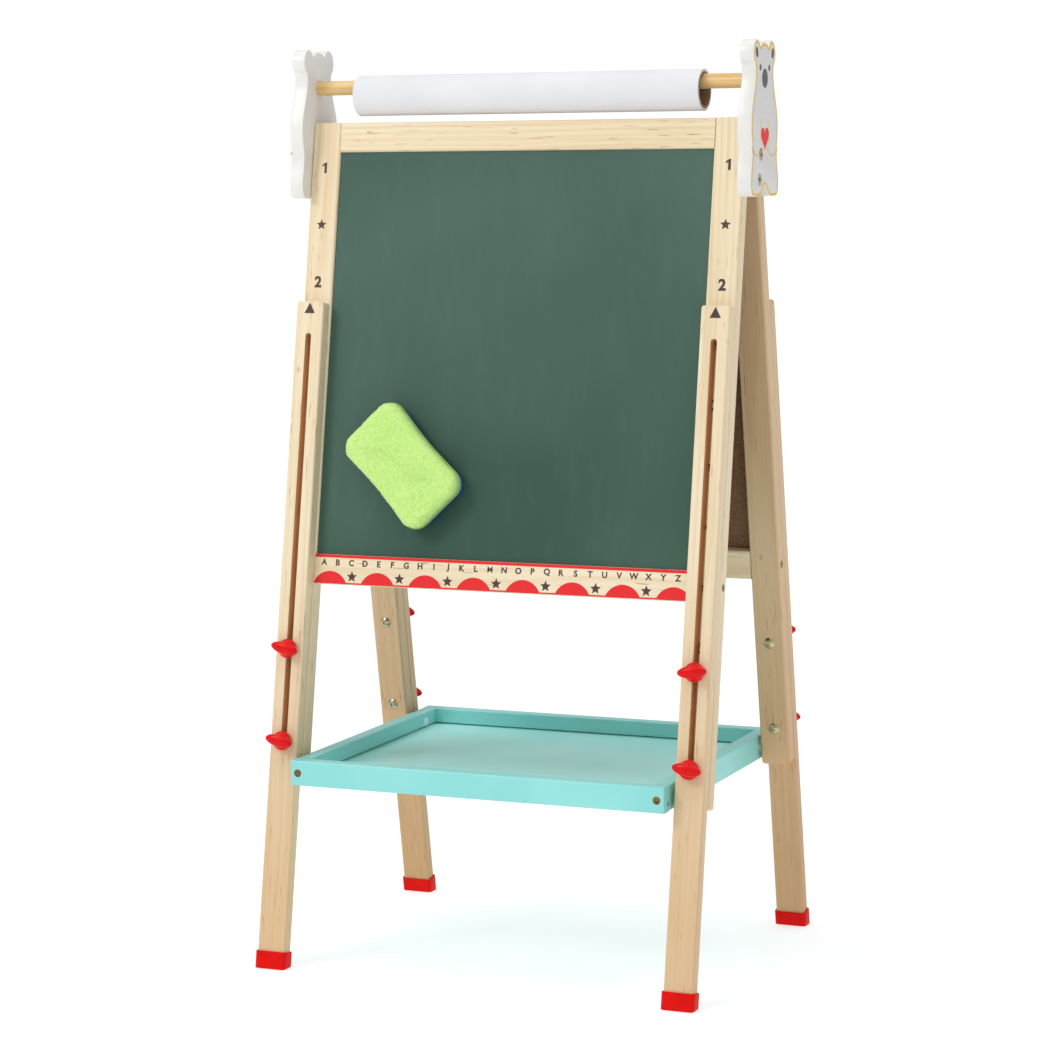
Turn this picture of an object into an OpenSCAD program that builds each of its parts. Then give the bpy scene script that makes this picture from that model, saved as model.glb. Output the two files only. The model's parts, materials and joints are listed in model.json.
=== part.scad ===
// Kids easel: a double-sided A-frame with a chalkboard in front, a whiteboard
// behind, four slotted legs that slide down for height, a tray that ties the
// two frames together, two bear-shaped side panels and a roll of paper.
//
// Millimetres, +Z up. The origin is on the floor, midway between the two frames
// and midway across. The chalkboard faces -Y. Left and right are as seen from
// the chalkboard's side. Everything is drawn with the frames open and the legs
// at their shortest.

/* [Frames] */
// Width over the stiles of the front frame
frame_w = 477; // [430:1:580]
// Width of a stile's face
stile_w = 32; // [28:0.5:40]
// Thickness of the stiles and rails
frame_t = 18; // [16:0.5:22]
// Width of the top and bottom rails
rail_w = 31; // [28:0.5:38]
// Height of the drawing surface between the rails
board_h = 420.5; // [350:0.5:510]
// Length of stile below the bottom rail
stile_tail = 204.5; // [190:0.5:250]
// Lean of each frame from upright, in degrees
lean = 9.9; // [8:0.1:12]
// Rounding along the edges of the stiles, rails and legs
edge_r = 2.5; // [1:0.5:4]
// Rounding at the corners where a stile or leg ends
end_r = 4; // [2:0.5:6]
// How much narrower the back frame is on each side, to pass inside the bears
back_clearance = 0.5; // [0.3:0.1:1]

/* [Boards] */
// Depth of the drawing surface behind the frame's outer face
board_recess = 3; // [2:0.5:5]
// Thickness of the coated steel drawing sheet
sheet_t = 0.6; // [0.4:0.1:1]
// Thickness of the hardboard behind it
backing_t = 3.2; // [2.5:0.1:5]
// Depth of the groove that holds the board
groove_d = 6; // [4:0.5:9]
// Play of the board in its groove
groove_play = 0.4; // [0.2:0.1:1]

/* [Legs] */
// Width of a leg
leg_w = 31; // [26:0.5:32]
// Thickness of a leg
leg_t = 15; // [9:0.5:18]
// Distance from the frame's top edge down to a leg's top end
leg_drop = 190; // [150:1:220]
// Distance from a leg's top end to the top of its slot
slot_margin = 33; // [24:1:45]
// Length of leg below the lower height bolt
leg_tail = 232.1; // [190:0.1:280]
// Sliding gap between a leg and its stile
leg_gap = 0.2; // [0.1:0.05:0.4]
// Gap on each side of the bolt in the leg's slot
slot_gap = 0.25; // [0.15:0.05:0.5]

/* [Feet] */
// Wall of the rubber foot cap
cap_wall = 2; // [1.2:0.1:3]
// Thickness of rubber under the leg
cap_sole = 3; // [2:0.5:5]
// Height of the cap up the leg's outer face, above the sole
cap_h = 15; // [12:0.5:25]

/* [Height bolts and knobs] */
// Diameter of the bolt
bolt_d = 6; // [5:0.5:8]
// Distance from the bottom rail's lower edge to the upper bolt
bolt_drop = 69.2; // [50:0.1:85]
// Distance between the two bolts of a stile
bolt_pitch = 95.4; // [80:0.1:105]
// Diameter of the bolt's domed head
bolt_head_d = 12; // [10:0.5:14]
// Height of the bolt's domed head
bolt_head_h = 3; // [2:0.5:3.5]
// Diameter of the washer under a knob
washer_d = 15; // [13:0.5:18]
// Thickness of a washer
washer_t = 1.2; // [0.8:0.1:2]
// Diameter of a knob's round base
knob_d = 20; // [17:0.5:24]
// Height of a knob's round base
knob_base_h = 5; // [4:0.5:8]
// Length of a knob's wing
knob_wing_l = 31; // [26:0.5:38]
// Thickness of a knob's wing
knob_wing_w = 12.5; // [9:0.5:14]
// Height of a whole knob
knob_h = 15; // [13:0.5:20]
// Running gap of a knob on its bolt, on the radius
knob_gap = 0.06; // [0.03:0.01:0.1]

/* [Hinges] */
// Distance of each hinge from the middle of the easel
hinge_x = 130; // [90:1:150]
// Length of a hinge
hinge_l = 50; // [40:1:60]
// Height of a hinge leaf on the rail
leaf_h = 18; // [15:0.5:20]
// Thickness of a hinge leaf
leaf_t = 2; // [1.5:0.1:2.5]
// Outer radius of the hinge's barrel
barrel_r = 4; // [3.5:0.1:4.5]
// Radius of the hinge pin
hinge_pin_r = 2; // [1.5:0.1:2.5]
// Distance from the frame's inner face to the hinge pin
hinge_offset = 5.5; // [5:0.1:7]
// Distance of the hinge pin below the frame's top edge
hinge_drop = 4; // [4:0.5:6]

/* [Bears] */
// Thickness of a bear panel
bear_t = 15; // [12:0.5:18]
// Height of a bear panel
bear_h = 154; // [140:1:170]
// Width of a bear panel across its legs
bear_w = 86; // [76:1:96]
// Distance of the bear's middle in front of the hinge line
bear_forward = 9; // [4:0.5:12]
// Distance from the hinge line down to the bear's lowest point
bear_drop = 70.5; // [62:0.5:76]

/* [Paper roll] */
// Diameter of the wooden dowel
dowel_d = 15; // [12:0.5:18]
// Height of the dowel above the bear's lowest point
dowel_rise = 114.5; // [100:0.5:118]
// Depth of the dowel's blind hole in each bear
dowel_hole = 10; // [8:0.5:11]
// Length of the paper roll
roll_l = 381; // [300:1:381]
// Outer diameter of the paper roll
roll_d = 42; // [40:0.5:60]
// Inner diameter of the cardboard core
core_d = 32.4; // [25:0.1:34]
// Wall of the cardboard core
core_wall = 2; // [1:0.1:2.5]

/* [Tray] */
// Gap between the tray's side and a stile
tray_side_gap = 3; // [2:0.5:5]
// Distance the tray reaches past its screws, front and back
tray_overhang = 42.5; // [35:0.5:55]
// Height of the tray's rails
tray_h = 26; // [22:0.5:32]
// Thickness of the tray's rails
tray_t = 15; // [12:0.5:18]
// Thickness of the tray's bottom panel
panel_t = 3.5; // [3:0.5:5]
// Height of the groove above the tray's lower edge
panel_rise = 5.5; // [4:0.5:8]
// Depth of the groove in the tray's rails
panel_groove = 5; // [4:0.5:7]
// Open height of the groove above the panel
panel_slack = 1.4; // [0.5:0.1:2.5]
// Distance from the stile's lower end up to the tray screw
tray_screw_rise = 17.5; // [15:0.5:30]
// Height of the tray screws above the tray's lower edge
tray_screw_z = 15; // [13:0.5:17]
// Diameter of the tray screw's shank
tray_screw_d = 5; // [4:0.5:6]

/* [Eraser] */
// Length of the eraser
eraser_l = 126; // [110:1:140]
// Width of the eraser
eraser_w = 78; // [65:1:90]
// Thickness of the eraser's plastic body
eraser_body_t = 12; // [9:0.5:16]
// Thickness of the eraser's soft pad
eraser_pad_t = 16; // [12:0.5:20]

/* [Hidden] */

$fn = 48;
PINE = [0.93, 0.84, 0.68];
TURQUOISE = [0.6, 0.9, 0.88];
RED = [0.9, 0.1, 0.1];
ZINC = [0.75, 0.73, 0.65];
BRONZE = [0.55, 0.42, 0.25];
HARDBOARD = [0.45, 0.34, 0.24];

LEFT = -1;
RIGHT = 1;
cut = 1;                 // how far a cutter runs past the faces that it opens
touch = 0.1;             // gap round a fastener in its hole, on the radius
screw_sink = 0.3;        // depth of a countersunk head below the wood's surface
rest_gap = 0.3;          // gap between pieces of different bodies that rest on each other

// Frame: distances down the frame are measured from its top edge
inner_w = frame_w - 2 * stile_w;
bottom_rail_s = rail_w + board_h;
stile_len = bottom_rail_s + rail_w + stile_tail;
bolt_s = [bottom_rail_s + rail_w + bolt_drop, bottom_rail_s + rail_w + bolt_drop + bolt_pitch];
board_t = sheet_t + backing_t;
back_stile_w = stile_w - back_clearance;

// Legs
leg_x = frame_w / 2 - leg_w / 2;
back_leg_x = leg_x - back_clearance;
leg_len = bolt_s[1] + leg_tail - leg_drop;
slot_r = bolt_d / 2 + slot_gap;
slot_top_s = leg_drop + slot_margin + slot_r;
leg_travel = bolt_s[0] - slot_top_s;
knob_seat = leg_gap + leg_t + rest_gap + washer_t + rest_gap;
// Clockwise turn of the knobs: left upper, left lower, right upper, right lower
KNOB_TURN = [12, 10, -6, 8];

// Hinge line height that stands the soles on the floor
hinge_z = cap_sole + (leg_drop + leg_len - hinge_drop) * cos(lean)
    - (leg_gap + leg_t + frame_t + hinge_offset) * sin(lean);

// Screws that join the rails to the stiles, from the outer edges
frame_screw_s = [rail_w / 2, bottom_rail_s + rail_w / 2];
frame_screw_l = stile_w + 18;
frame_screw_d = 4;
frame_screw_head_d = 8;

// Bears, with the screws down the middle of the stile's edge
bear_y = -bear_forward;
bear_z = hinge_z - bear_drop;
bear_screw_s = [36, 61];
bear_screw_d = 5;
bear_screw_head_d = 12;
bear_screw_head_h = 3;
bear_screw_l = bear_t + 20;
// Right half of the bear from the top of its head to the notch between its
// feet: across and up, for a bear 86 wide and 154 high
BEAR_W = 86;
BEAR_H = 154;
BEAR_HALF = [
    [0, 151.5], [7, 150.5], [13, 147.5], [17, 152], [24, 154], [31, 150], [34.3, 142],
    [32.5, 134], [28, 128.5], [27.5, 121], [29, 112], [33.5, 99], [38.5, 86],
    [41.2, 72], [40.5, 58], [38, 46], [39.8, 32], [42.6, 20], [43, 9], [40, 2.5],
    [34, 0], [17, 0], [10, 3.5], [5, 9], [0, 11]];
bear_steps = 5;

// Paper
dowel_z = bear_z + dowel_rise;
dowel_l = frame_w + 2 * (dowel_hole - 1);
running = 0.06;          // running gap of a shaft in its bore, on the radius
roll_z = dowel_z + dowel_d / 2 - core_d / 2 + rest_gap;

// Tray, between the stiles, with its screws on the middle of their edges
tray_w = inner_w - 2 * tray_side_gap;
tray_screw_s = stile_len - tray_screw_rise;
pivot_y = cos(lean) * (frame_t / 2 - frame_t - hinge_offset) + sin(lean) * (hinge_drop - tray_screw_s);
pivot_z = hinge_z + sin(lean) * (frame_t / 2 + hinge_offset) + cos(lean) * (hinge_drop - tray_screw_s);
tray_d = 2 * (tray_overhang - pivot_y);
tray_z = pivot_z - tray_screw_z;
tray_edge_r = 1.5;
tray_screw_head_d = 8.5;
tray_screw_head_h = 3;
tray_screw_grip = 20;
spacer_t = tray_side_gap - 0.5;
spacer_d = 14;
cap_d = 10;
cap_t = 2.6;

// Eraser, held on the chalkboard by its magnet
eraser_x = -107;
eraser_s = 358;
eraser_turn = 45;
eraser_corner_r = 13;
magnet_size = [70, 30, 2];

// ---------------------------------------------------------------- placing

// Frame coordinates: x across, y into the easel from the frame's outer face,
// z up from the frame's top edge
module on_front()
    translate([0, 0, hinge_z]) rotate([-lean, 0, 0])
        translate([0, -frame_t - hinge_offset, hinge_drop]) children();

module on_back() mirror([0, 1, 0]) on_front() children();

// A cylinder along +X from the origin
module rod_x(d, l) rotate([0, 90, 0]) cylinder(d = d, h = l);

// A cylinder along +Y from the origin
module rod_y(d, l) rotate([-90, 0, 0]) cylinder(d = d, h = l);

// ---------------------------------------------------------------- shapes

// A rectangle with round corners: centred in x, from y = 0 up to t
module round_rect(w, t, r) {
    translate([-w / 2 + r, 0]) square([w - 2 * r, t]);
    translate([-w / 2, r]) square([w, t - 2 * r]);
    for (x = [-w / 2 + r, w / 2 - r], y = [r, t - r])
        translate([x, y]) circle(r);
}

// What rounds off the corner of a board that ends at the origin, in x and z
module corner_cutter(side, r, t)
    translate([side * -r, -cut, -r]) rotate([-90, 0, 0]) linear_extrude(t + 2 * cut)
        difference() {
            mirror([side < 0 ? 1 : 0, 0]) mirror([0, 1]) square(r + cut);
            circle(r);
        }

// An upright board of width w and thickness t, from z = 0 down to -len
module upright(w, t, len) {
    difference() {
        translate([0, 0, -len]) linear_extrude(len) round_rect(w, t, edge_r);
        for (side = [LEFT, RIGHT]) {
            translate([side * w / 2, 0, 0]) corner_cutter(side, end_r, t);
            translate([side * w / 2, 0, -len]) mirror([0, 0, 1]) corner_cutter(side, end_r, t);
        }
    }
}

// A board of width w that runs across, from z = 0 down to -w
module crosspiece(len, w, t, r)
    translate([-len / 2, 0, -w / 2]) rotate([0, 90, 0]) linear_extrude(len) round_rect(w, t, r);

// A closed smooth curve through the given points, by Catmull-Rom
function curve_point(a, b, c, d, u) = 0.5 * (2 * b + (c - a) * u
    + (2 * a - 5 * b + 4 * c - d) * u * u + (3 * b - a - 3 * c + d) * u * u * u);
function smooth_loop(p, steps) = let (n = len(p))
    [for (i = [0:n - 1], k = [0:steps - 1])
        curve_point(p[(i + n - 1) % n], p[i], p[(i + 1) % n], p[(i + 2) % n], k / steps)];

// A countersunk screw along +X with its flush head at the origin
module countersunk_screw(d, head_d, l) {
    rotate([0, 90, 0]) {
        difference() {
            cylinder(d1 = head_d, d2 = d, h = (head_d - d) / 2);
            translate([0, 0, -cut]) cylinder(d = head_d * 0.42, h = cut + 1.6, $fn = 6);
        }
        cylinder(d = d, h = l);
    }
}

// The hole for it, in which the head sits a little below the surface
module countersunk_hole(d, head_d, l, sink) {
    rotate([0, 90, 0]) {
        translate([0, 0, -cut]) cylinder(d = head_d + 2 * touch, h = cut + sink);
        translate([0, 0, sink])
            cylinder(d1 = head_d + 2 * touch, d2 = d + 2 * touch, h = (head_d - d) / 2);
        cylinder(d = d + 2 * touch, h = l + sink + touch);
    }
}

// A domed head with a hex socket, rising from z = 0
module domed_head(d, h) {
    ball_r = (d * d / 4 + h * h) / (2 * h);
    difference() {
        intersection() {
            translate([0, 0, h - ball_r]) sphere(ball_r, $fn = 96);
            cylinder(d = d, h = h + cut);
        }
        translate([0, 0, h - 1.8]) cylinder(d = d * 0.36, h = 1.8 + cut, $fn = 6);
    }
}

// ---------------------------------------------------------------- frames

// Every screw of a frame starts at the stile's outer edge and runs inwards
module at_frame_screws(side, x)
    for (s = frame_screw_s)
        translate([side * x, frame_t / 2, -s]) mirror([side > 0 ? 1 : 0, 0, 0]) children();

module board_groove()
    translate([-inner_w / 2 - groove_d, board_recess - touch, -bottom_rail_s - groove_d])
        cube([inner_w + 2 * groove_d, board_t + 2 * touch, board_h + 2 * groove_d]);

// A stile of width w, with its outer edge at outer and its bolt holes at bolt_x
module stile(side, w, outer, bolt_x) {
    difference() {
        translate([side * (outer - w / 2), 0, 0]) upright(w, frame_t, stile_len);
        board_groove();
        at_frame_screws(side, outer)
            countersunk_hole(frame_screw_d, frame_screw_head_d, w + cut, screw_sink);
        for (s = bolt_s)
            translate([side * bolt_x, -cut, -s]) rod_y(bolt_d + 2 * touch, frame_t + 2 * cut);
    }
}

// Holes that only the front stile has: bear screws outside, tray screw inside
module front_stile(side)
    color(PINE) on_front() difference() {
        stile(side, stile_w, frame_w / 2, leg_x);
        for (s = bear_screw_s)
            translate([side * (frame_w / 2 + cut), frame_t / 2, -s]) mirror([side > 0 ? 1 : 0, 0, 0])
                rod_x(bear_screw_d + 2 * touch, bear_screw_l - bear_t + cut + touch);
        translate([side * (inner_w / 2 - cut), frame_t / 2, -tray_screw_s])
            mirror([side < 0 ? 1 : 0, 0, 0]) rod_x(tray_screw_d + 2 * touch, tray_screw_grip + cut + touch);
    }

module back_stile(side)
    color(PINE) on_back() stile(side, back_stile_w, frame_w / 2 - back_clearance, back_leg_x);

module front_left_stile() front_stile(LEFT);
module front_right_stile() front_stile(RIGHT);
module back_left_stile() back_stile(LEFT);
module back_right_stile() back_stile(RIGHT);

// Both rails: the screw holes are in their ends
module rail(s) {
    difference() {
        translate([0, 0, -s]) crosspiece(inner_w, rail_w, frame_t, edge_r);
        board_groove();
        for (side = [LEFT, RIGHT]) at_frame_screws(side, inner_w / 2)
            translate([-cut, 0, 0]) rod_x(frame_screw_d + 2 * touch, frame_screw_l - stile_w + 2 * cut);
    }
}

// The hinge screws' pilot holes are in the top rail's inner face
module top_rail() color(PINE) difference() {
    rail(0);
    at_hinge_screws() translate([0, touch + leaf_t, 0]) rotate([180, 0, 0])
        rod_y(hinge_screw_d + 2 * touch, hinge_screw_l + 2 * touch);
}

module front_top_rail() on_front() top_rail();
module front_bottom_rail() color(PINE) on_front() rail(bottom_rail_s);
module back_top_rail() on_back() top_rail();
module back_bottom_rail() color(PINE) on_back() rail(bottom_rail_s);

// A sheet in the groove, from depth y on
module board_sheet(y, t) {
    w = inner_w + 2 * (groove_d - groove_play);
    h = board_h + 2 * (groove_d - groove_play);
    translate([-w / 2, y, -bottom_rail_s - groove_d + groove_play]) cube([w, t, h]);
}

module chalkboard_face() color([0.29, 0.41, 0.36]) on_front() board_sheet(board_recess, sheet_t);
module chalkboard_backing() color(HARDBOARD) on_front() board_sheet(board_recess + sheet_t, backing_t);
module whiteboard_face() color([0.95, 0.95, 0.96]) on_back() board_sheet(board_recess, sheet_t);
module whiteboard_backing() color(HARDBOARD) on_back() board_sheet(board_recess + sheet_t, backing_t);

module frame_screws(outer) color(BRONZE)
    for (side = [LEFT, RIGHT]) at_frame_screws(side, outer)
        translate([screw_sink, 0, 0]) countersunk_screw(frame_screw_d, frame_screw_head_d, frame_screw_l);

module front_frame_screws() on_front() frame_screws(frame_w / 2);
module back_frame_screws() on_back() frame_screws(frame_w / 2 - back_clearance);

// ---------------------------------------------------------------- hinges

hinge_screw_d = 3.5;
hinge_screw_head_d = 6.5;
hinge_screw_l = 14;
knuckles = 5;
knuckle_gap = 0.3;
leaf_top = hinge_drop + barrel_r + 1;

// Screws of the hinge leaves, on the leaf's outer face
module at_hinge_screws()
    for (side = [LEFT, RIGHT], x = [-hinge_l / 2 + 9, hinge_l / 2 - 9])
        translate([side * hinge_x + x, frame_t, -leaf_top - leaf_h / 2]) children();

// One leaf. It has the knuckles that start at the given number, every second one
module hinge_leaf(first) {
    knuckle_l = hinge_l / knuckles;
    difference() {
        union() {
            translate([-hinge_l / 2, frame_t, -leaf_top - leaf_h]) cube([hinge_l, leaf_t, leaf_h]);
            for (i = [first:2:knuckles - 1])
                translate([-hinge_l / 2 + i * knuckle_l + knuckle_gap / 2, frame_t, 0]) {
                    translate([0, 0, -leaf_top - cut])
                        cube([knuckle_l - knuckle_gap, leaf_t, leaf_top + cut - hinge_drop]);
                    translate([0, hinge_offset, -hinge_drop])
                        rod_x(2 * barrel_r, knuckle_l - knuckle_gap);
                }
        }
        translate([-hinge_l / 2 - cut, frame_t + hinge_offset, -hinge_drop])
            rod_x(2 * (hinge_pin_r + running), hinge_l + 2 * cut);
    }
}

module hinge_leaves(first) color(ZINC) difference() {
    for (side = [LEFT, RIGHT]) translate([side * hinge_x, 0, 0]) hinge_leaf(first);
    at_hinge_screws() translate([0, leaf_t, 0]) rotate([0, 0, -90])
        countersunk_hole(hinge_screw_d, hinge_screw_head_d, leaf_t + cut, 0);
}

module hinge_screws() color(ZINC)
    at_hinge_screws() translate([0, leaf_t, 0]) rotate([0, 0, -90])
        countersunk_screw(hinge_screw_d, hinge_screw_head_d, hinge_screw_l);

module front_hinge_leaves() on_front() hinge_leaves(0);
module back_hinge_leaves() on_back() hinge_leaves(1);
module front_hinge_screws() on_front() hinge_screws();
module back_hinge_screws() on_back() hinge_screws();

module hinge_pins() color(ZINC)
    for (side = [LEFT, RIGHT])
        translate([side * hinge_x - hinge_l / 2, 0, hinge_z]) {
            rod_x(2 * hinge_pin_r, hinge_l);
            translate([-1, 0, 0]) rod_x(2 * barrel_r - 1, 1);
            translate([hinge_l, 0, 0]) rod_x(2 * barrel_r - 1, 1);
        }

// ---------------------------------------------------------------- legs

// A leg's wood without its slot, long enough to pass the floor
module leg_stick(extra)
    translate([0, -leg_gap - leg_t, -leg_drop]) upright(leg_w, leg_t, leg_len + extra);

module leg_slot() {
    s = [slot_top_s, bolt_s[1]];
    translate([-slot_r, -leg_gap - leg_t - cut, -s[1]]) cube([2 * slot_r, leg_t + 2 * cut, s[1] - s[0]]);
    for (z = s) translate([0, -leg_gap - leg_t - cut, -z]) rod_y(2 * slot_r, leg_t + 2 * cut);
}

// Everything above the height z
module above(z) translate([-frame_w, -frame_w, z]) cube([2 * frame_w, 2 * frame_w, 2 * hinge_z]);

// A front leg, cut level where it stands on its sole
module leg(x) color(PINE) intersection() {
    on_front() translate([x, 0, 0]) difference() {
        leg_stick(4 * leg_t);
        leg_slot();
    }
    above(cap_sole);
}

module foot(x) color(RED) difference() {
    intersection() {
        on_front() translate([x, -leg_gap - leg_t - cap_wall, -leg_drop - leg_len + cap_h]) mirror([0, 0, 1])
            linear_extrude(cap_h + 4 * leg_t)
                round_rect(leg_w + 2 * cap_wall, leg_t + 2 * cap_wall, edge_r + cap_wall);
        above(0);
    }
    intersection() {
        on_front() translate([x, -leg_gap - leg_t, -leg_drop - leg_len + cap_h + cut]) mirror([0, 0, 1])
            linear_extrude(cap_h + 4 * leg_t) round_rect(leg_w, leg_t, edge_r);
        above(cap_sole);
    }
}

module front_left_leg() leg(-leg_x);
module front_right_leg() leg(leg_x);
module back_left_leg() mirror([0, 1, 0]) leg(-back_leg_x);
module back_right_leg() mirror([0, 1, 0]) leg(back_leg_x);
module front_left_foot() foot(-leg_x);
module front_right_foot() foot(leg_x);
module back_left_foot() mirror([0, 1, 0]) foot(-back_leg_x);
module back_right_foot() mirror([0, 1, 0]) foot(back_leg_x);

// ---------------------------------------------------------------- height bolts and knobs

module at_height_bolts(bolt_x)
    for (x = [-bolt_x, bolt_x], s = bolt_s) translate([x, 0, -s]) children();

// The bolt's thread ends inside its knob
module height_bolts(bolt_x) color(ZINC) at_height_bolts(bolt_x) {
    translate([0, frame_t, 0]) rotate([-90, 0, 0]) domed_head(bolt_head_d, bolt_head_h);
    translate([0, -knob_seat - knob_h * 0.6, 0]) rod_y(bolt_d, knob_h * 0.6 + knob_seat + frame_t + touch);
}

module bolt_washers(bolt_x) color(ZINC) at_height_bolts(bolt_x)
    translate([0, -leg_gap - leg_t - rest_gap - washer_t, 0]) difference() {
        rod_y(washer_d, washer_t);
        translate([0, -cut, 0]) rod_y(bolt_d + 2 * touch, washer_t + 2 * cut);
    }

module front_height_bolts() on_front() height_bolts(leg_x);
module back_height_bolts() on_back() height_bolts(back_leg_x);
module front_bolt_washers() on_front() bolt_washers(leg_x);
module back_bolt_washers() on_back() bolt_washers(back_leg_x);

// A knob: a round base and a pointed oval wing with a crowned top
module knob_shape() {
    wing_r = (knob_wing_l * knob_wing_l + knob_wing_w * knob_wing_w) / (4 * knob_wing_w);
    crown_r = knob_wing_l * 0.8;
    difference() {
        union() {
            cylinder(d = knob_d, h = knob_base_h - 1.5);
            translate([0, 0, knob_base_h - 1.5]) cylinder(d1 = knob_d, d2 = knob_d - 5, h = 1.5);
            intersection() {
                translate([0, wing_r - knob_wing_w / 2, 2]) cylinder(r = wing_r, h = knob_h, $fn = 128);
                translate([0, knob_wing_w / 2 - wing_r, 2]) cylinder(r = wing_r, h = knob_h, $fn = 128);
                translate([0, 0, knob_h - crown_r]) sphere(crown_r, $fn = 96);
            }
        }
        translate([0, 0, -cut]) cylinder(d = bolt_d + 2 * knob_gap, h = knob_h * 0.6 + cut + rest_gap);
    }
}

module knob(x, row, turn) color(RED)
    translate([x, -knob_seat, -bolt_s[row]]) rotate([90, turn, 0]) knob_shape();

module front_left_upper_knob() on_front() knob(-leg_x, 0, KNOB_TURN[0]);
module front_left_lower_knob() on_front() knob(-leg_x, 1, KNOB_TURN[1]);
module front_right_upper_knob() on_front() knob(leg_x, 0, KNOB_TURN[2]);
module front_right_lower_knob() on_front() knob(leg_x, 1, KNOB_TURN[3]);
module back_left_upper_knob() on_back() knob(-back_leg_x, 0, KNOB_TURN[0]);
module back_left_lower_knob() on_back() knob(-back_leg_x, 1, KNOB_TURN[1]);
module back_right_upper_knob() on_back() knob(back_leg_x, 0, KNOB_TURN[2]);
module back_right_lower_knob() on_back() knob(back_leg_x, 1, KNOB_TURN[3]);

// ---------------------------------------------------------------- bears and their screws

function bear_right(s) = [for (p = BEAR_HALF) [s * p[0] * bear_w / BEAR_W, p[1] * bear_h / BEAR_H]];
BEAR_LOOP = smooth_loop(concat(bear_right(1),
    [for (i = [len(BEAR_HALF) - 2:-1:1]) bear_right(-1)[i]]), bear_steps);

module at_bear_screws(side)
    on_front() for (s = bear_screw_s)
        translate([side * (frame_w / 2 + bear_t), frame_t / 2, -s])
            mirror([side > 0 ? 1 : 0, 0, 0]) children();

module bear_panel(side) color([0.95, 0.95, 0.93]) difference() {
    translate([side > 0 ? frame_w / 2 : -frame_w / 2 - bear_t, bear_y, bear_z])
        rotate([90, 0, 90]) linear_extrude(bear_t) polygon(BEAR_LOOP);
    translate([side > 0 ? frame_w / 2 - cut : -frame_w / 2 - dowel_hole, bear_y, dowel_z])
        rod_x(dowel_d + 2 * running, dowel_hole + cut);
    at_bear_screws(side) {
        translate([-cut, 0, 0]) rod_x(bear_screw_head_d + 2 * touch, bear_screw_head_h + cut);
        rod_x(bear_screw_d + 2 * touch, bear_t + cut);
    }
}

module left_bear_panel() bear_panel(LEFT);
module right_bear_panel() bear_panel(RIGHT);

module bear_screws() color(ZINC)
    for (side = [LEFT, RIGHT]) at_bear_screws(side) difference() {
        union() {
            translate([0.4, 0, 0]) rod_x(bear_screw_head_d, bear_screw_head_h - 0.4);
            translate([1, 0, 0]) rod_x(bear_screw_d, bear_screw_l - 1);
        }
        translate([0.4 - cut, 0, 0]) rotate([0, 90, 0]) cylinder(d = 4.4, h = 2 + cut, $fn = 6);
    }

// ---------------------------------------------------------------- paper

module paper_dowel() color([0.85, 0.7, 0.45])
    translate([-dowel_l / 2, bear_y, dowel_z]) rod_x(dowel_d, dowel_l);

module tube_x(outer_d, inner_d, l) difference() {
    rod_x(outer_d, l);
    translate([-cut, 0, 0]) rod_x(inner_d, l + 2 * cut);
}

module paper_core() color([0.7, 0.58, 0.42])
    translate([-roll_l / 2, bear_y, roll_z]) tube_x(core_d + 2 * core_wall, core_d, roll_l);

module paper_roll() color([0.95, 0.95, 0.95])
    translate([-roll_l / 2, bear_y, roll_z]) tube_x(roll_d, core_d + 2 * core_wall + touch, roll_l);

// ---------------------------------------------------------------- tray

// The panel's space in the rails, larger than the panel by play all round and by slack on top
module panel_space(play, slack)
    translate([-tray_w / 2 + tray_t - panel_groove - play, -tray_d / 2 + tray_t - panel_groove - play,
            tray_z + panel_rise - play])
        cube([tray_w - 2 * (tray_t - panel_groove) + 2 * play,
            tray_d - 2 * (tray_t - panel_groove) + 2 * play, panel_t + 2 * play + slack]);

// Corner screws run through the front and rear rails into the side rails
tray_corner_l = tray_t + 25;
module at_corner_screws()
    for (side = [LEFT, RIGHT], end = [-1, 1])
        translate([side * (tray_w / 2 - tray_t / 2), end * tray_d / 2, tray_z + tray_h / 2])
            rotate([0, 0, -90 * end]) children();

// The groove of the front and rear rails runs out through their ends
module cross_rail_groove() {
    reach = tray_d / 2 - tray_t + panel_groove + touch;
    translate([-tray_w / 2 - cut, -reach, tray_z + panel_rise - touch])
        cube([tray_w + 2 * cut, 2 * reach, panel_t + 2 * touch + panel_slack]);
}

module tray_cross_rail(end) color(TURQUOISE) difference() {
    translate([0, end * (tray_d / 2 - tray_t / 2) - tray_t / 2, tray_z + tray_h])
        crosspiece(tray_w, tray_h, tray_t, tray_edge_r);
    cross_rail_groove();
    at_corner_screws() countersunk_hole(frame_screw_d, frame_screw_head_d, tray_corner_l, screw_sink);
}

module at_tray_screws(ends)
    for (side = [LEFT, RIGHT], end = ends)
        translate([side * tray_w / 2, end * -pivot_y, pivot_z])
            mirror([side < 0 ? 1 : 0, 0, 0]) children();

module tray_side_rail(side) color(TURQUOISE) difference() {
    translate([side * (tray_w / 2 - tray_t / 2), tray_d / 2 - tray_t, tray_z]) rotate([90, 0, 0])
        linear_extrude(tray_d - 2 * tray_t) round_rect(tray_t, tray_h, tray_edge_r);
    panel_space(touch, panel_slack);
    at_corner_screws() countersunk_hole(frame_screw_d, frame_screw_head_d, tray_corner_l, screw_sink);
    at_tray_screws([-1, 1]) {
        translate([-tray_t - cut, 0, 0]) rod_x(tray_screw_d + 2 * running, tray_t + 2 * cut);
        translate([-tray_t - cut, 0, 0])
            rod_x(tray_screw_head_d + 2 * rest_gap, cut + rest_gap + tray_screw_head_h + rest_gap);
    }
}

module tray_front_rail() tray_cross_rail(-1);
module tray_rear_rail() tray_cross_rail(1);
module tray_left_rail() tray_side_rail(LEFT);
module tray_right_rail() tray_side_rail(RIGHT);
module tray_panel() color([0.5, 0.85, 0.84]) panel_space(0, 0);

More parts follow.
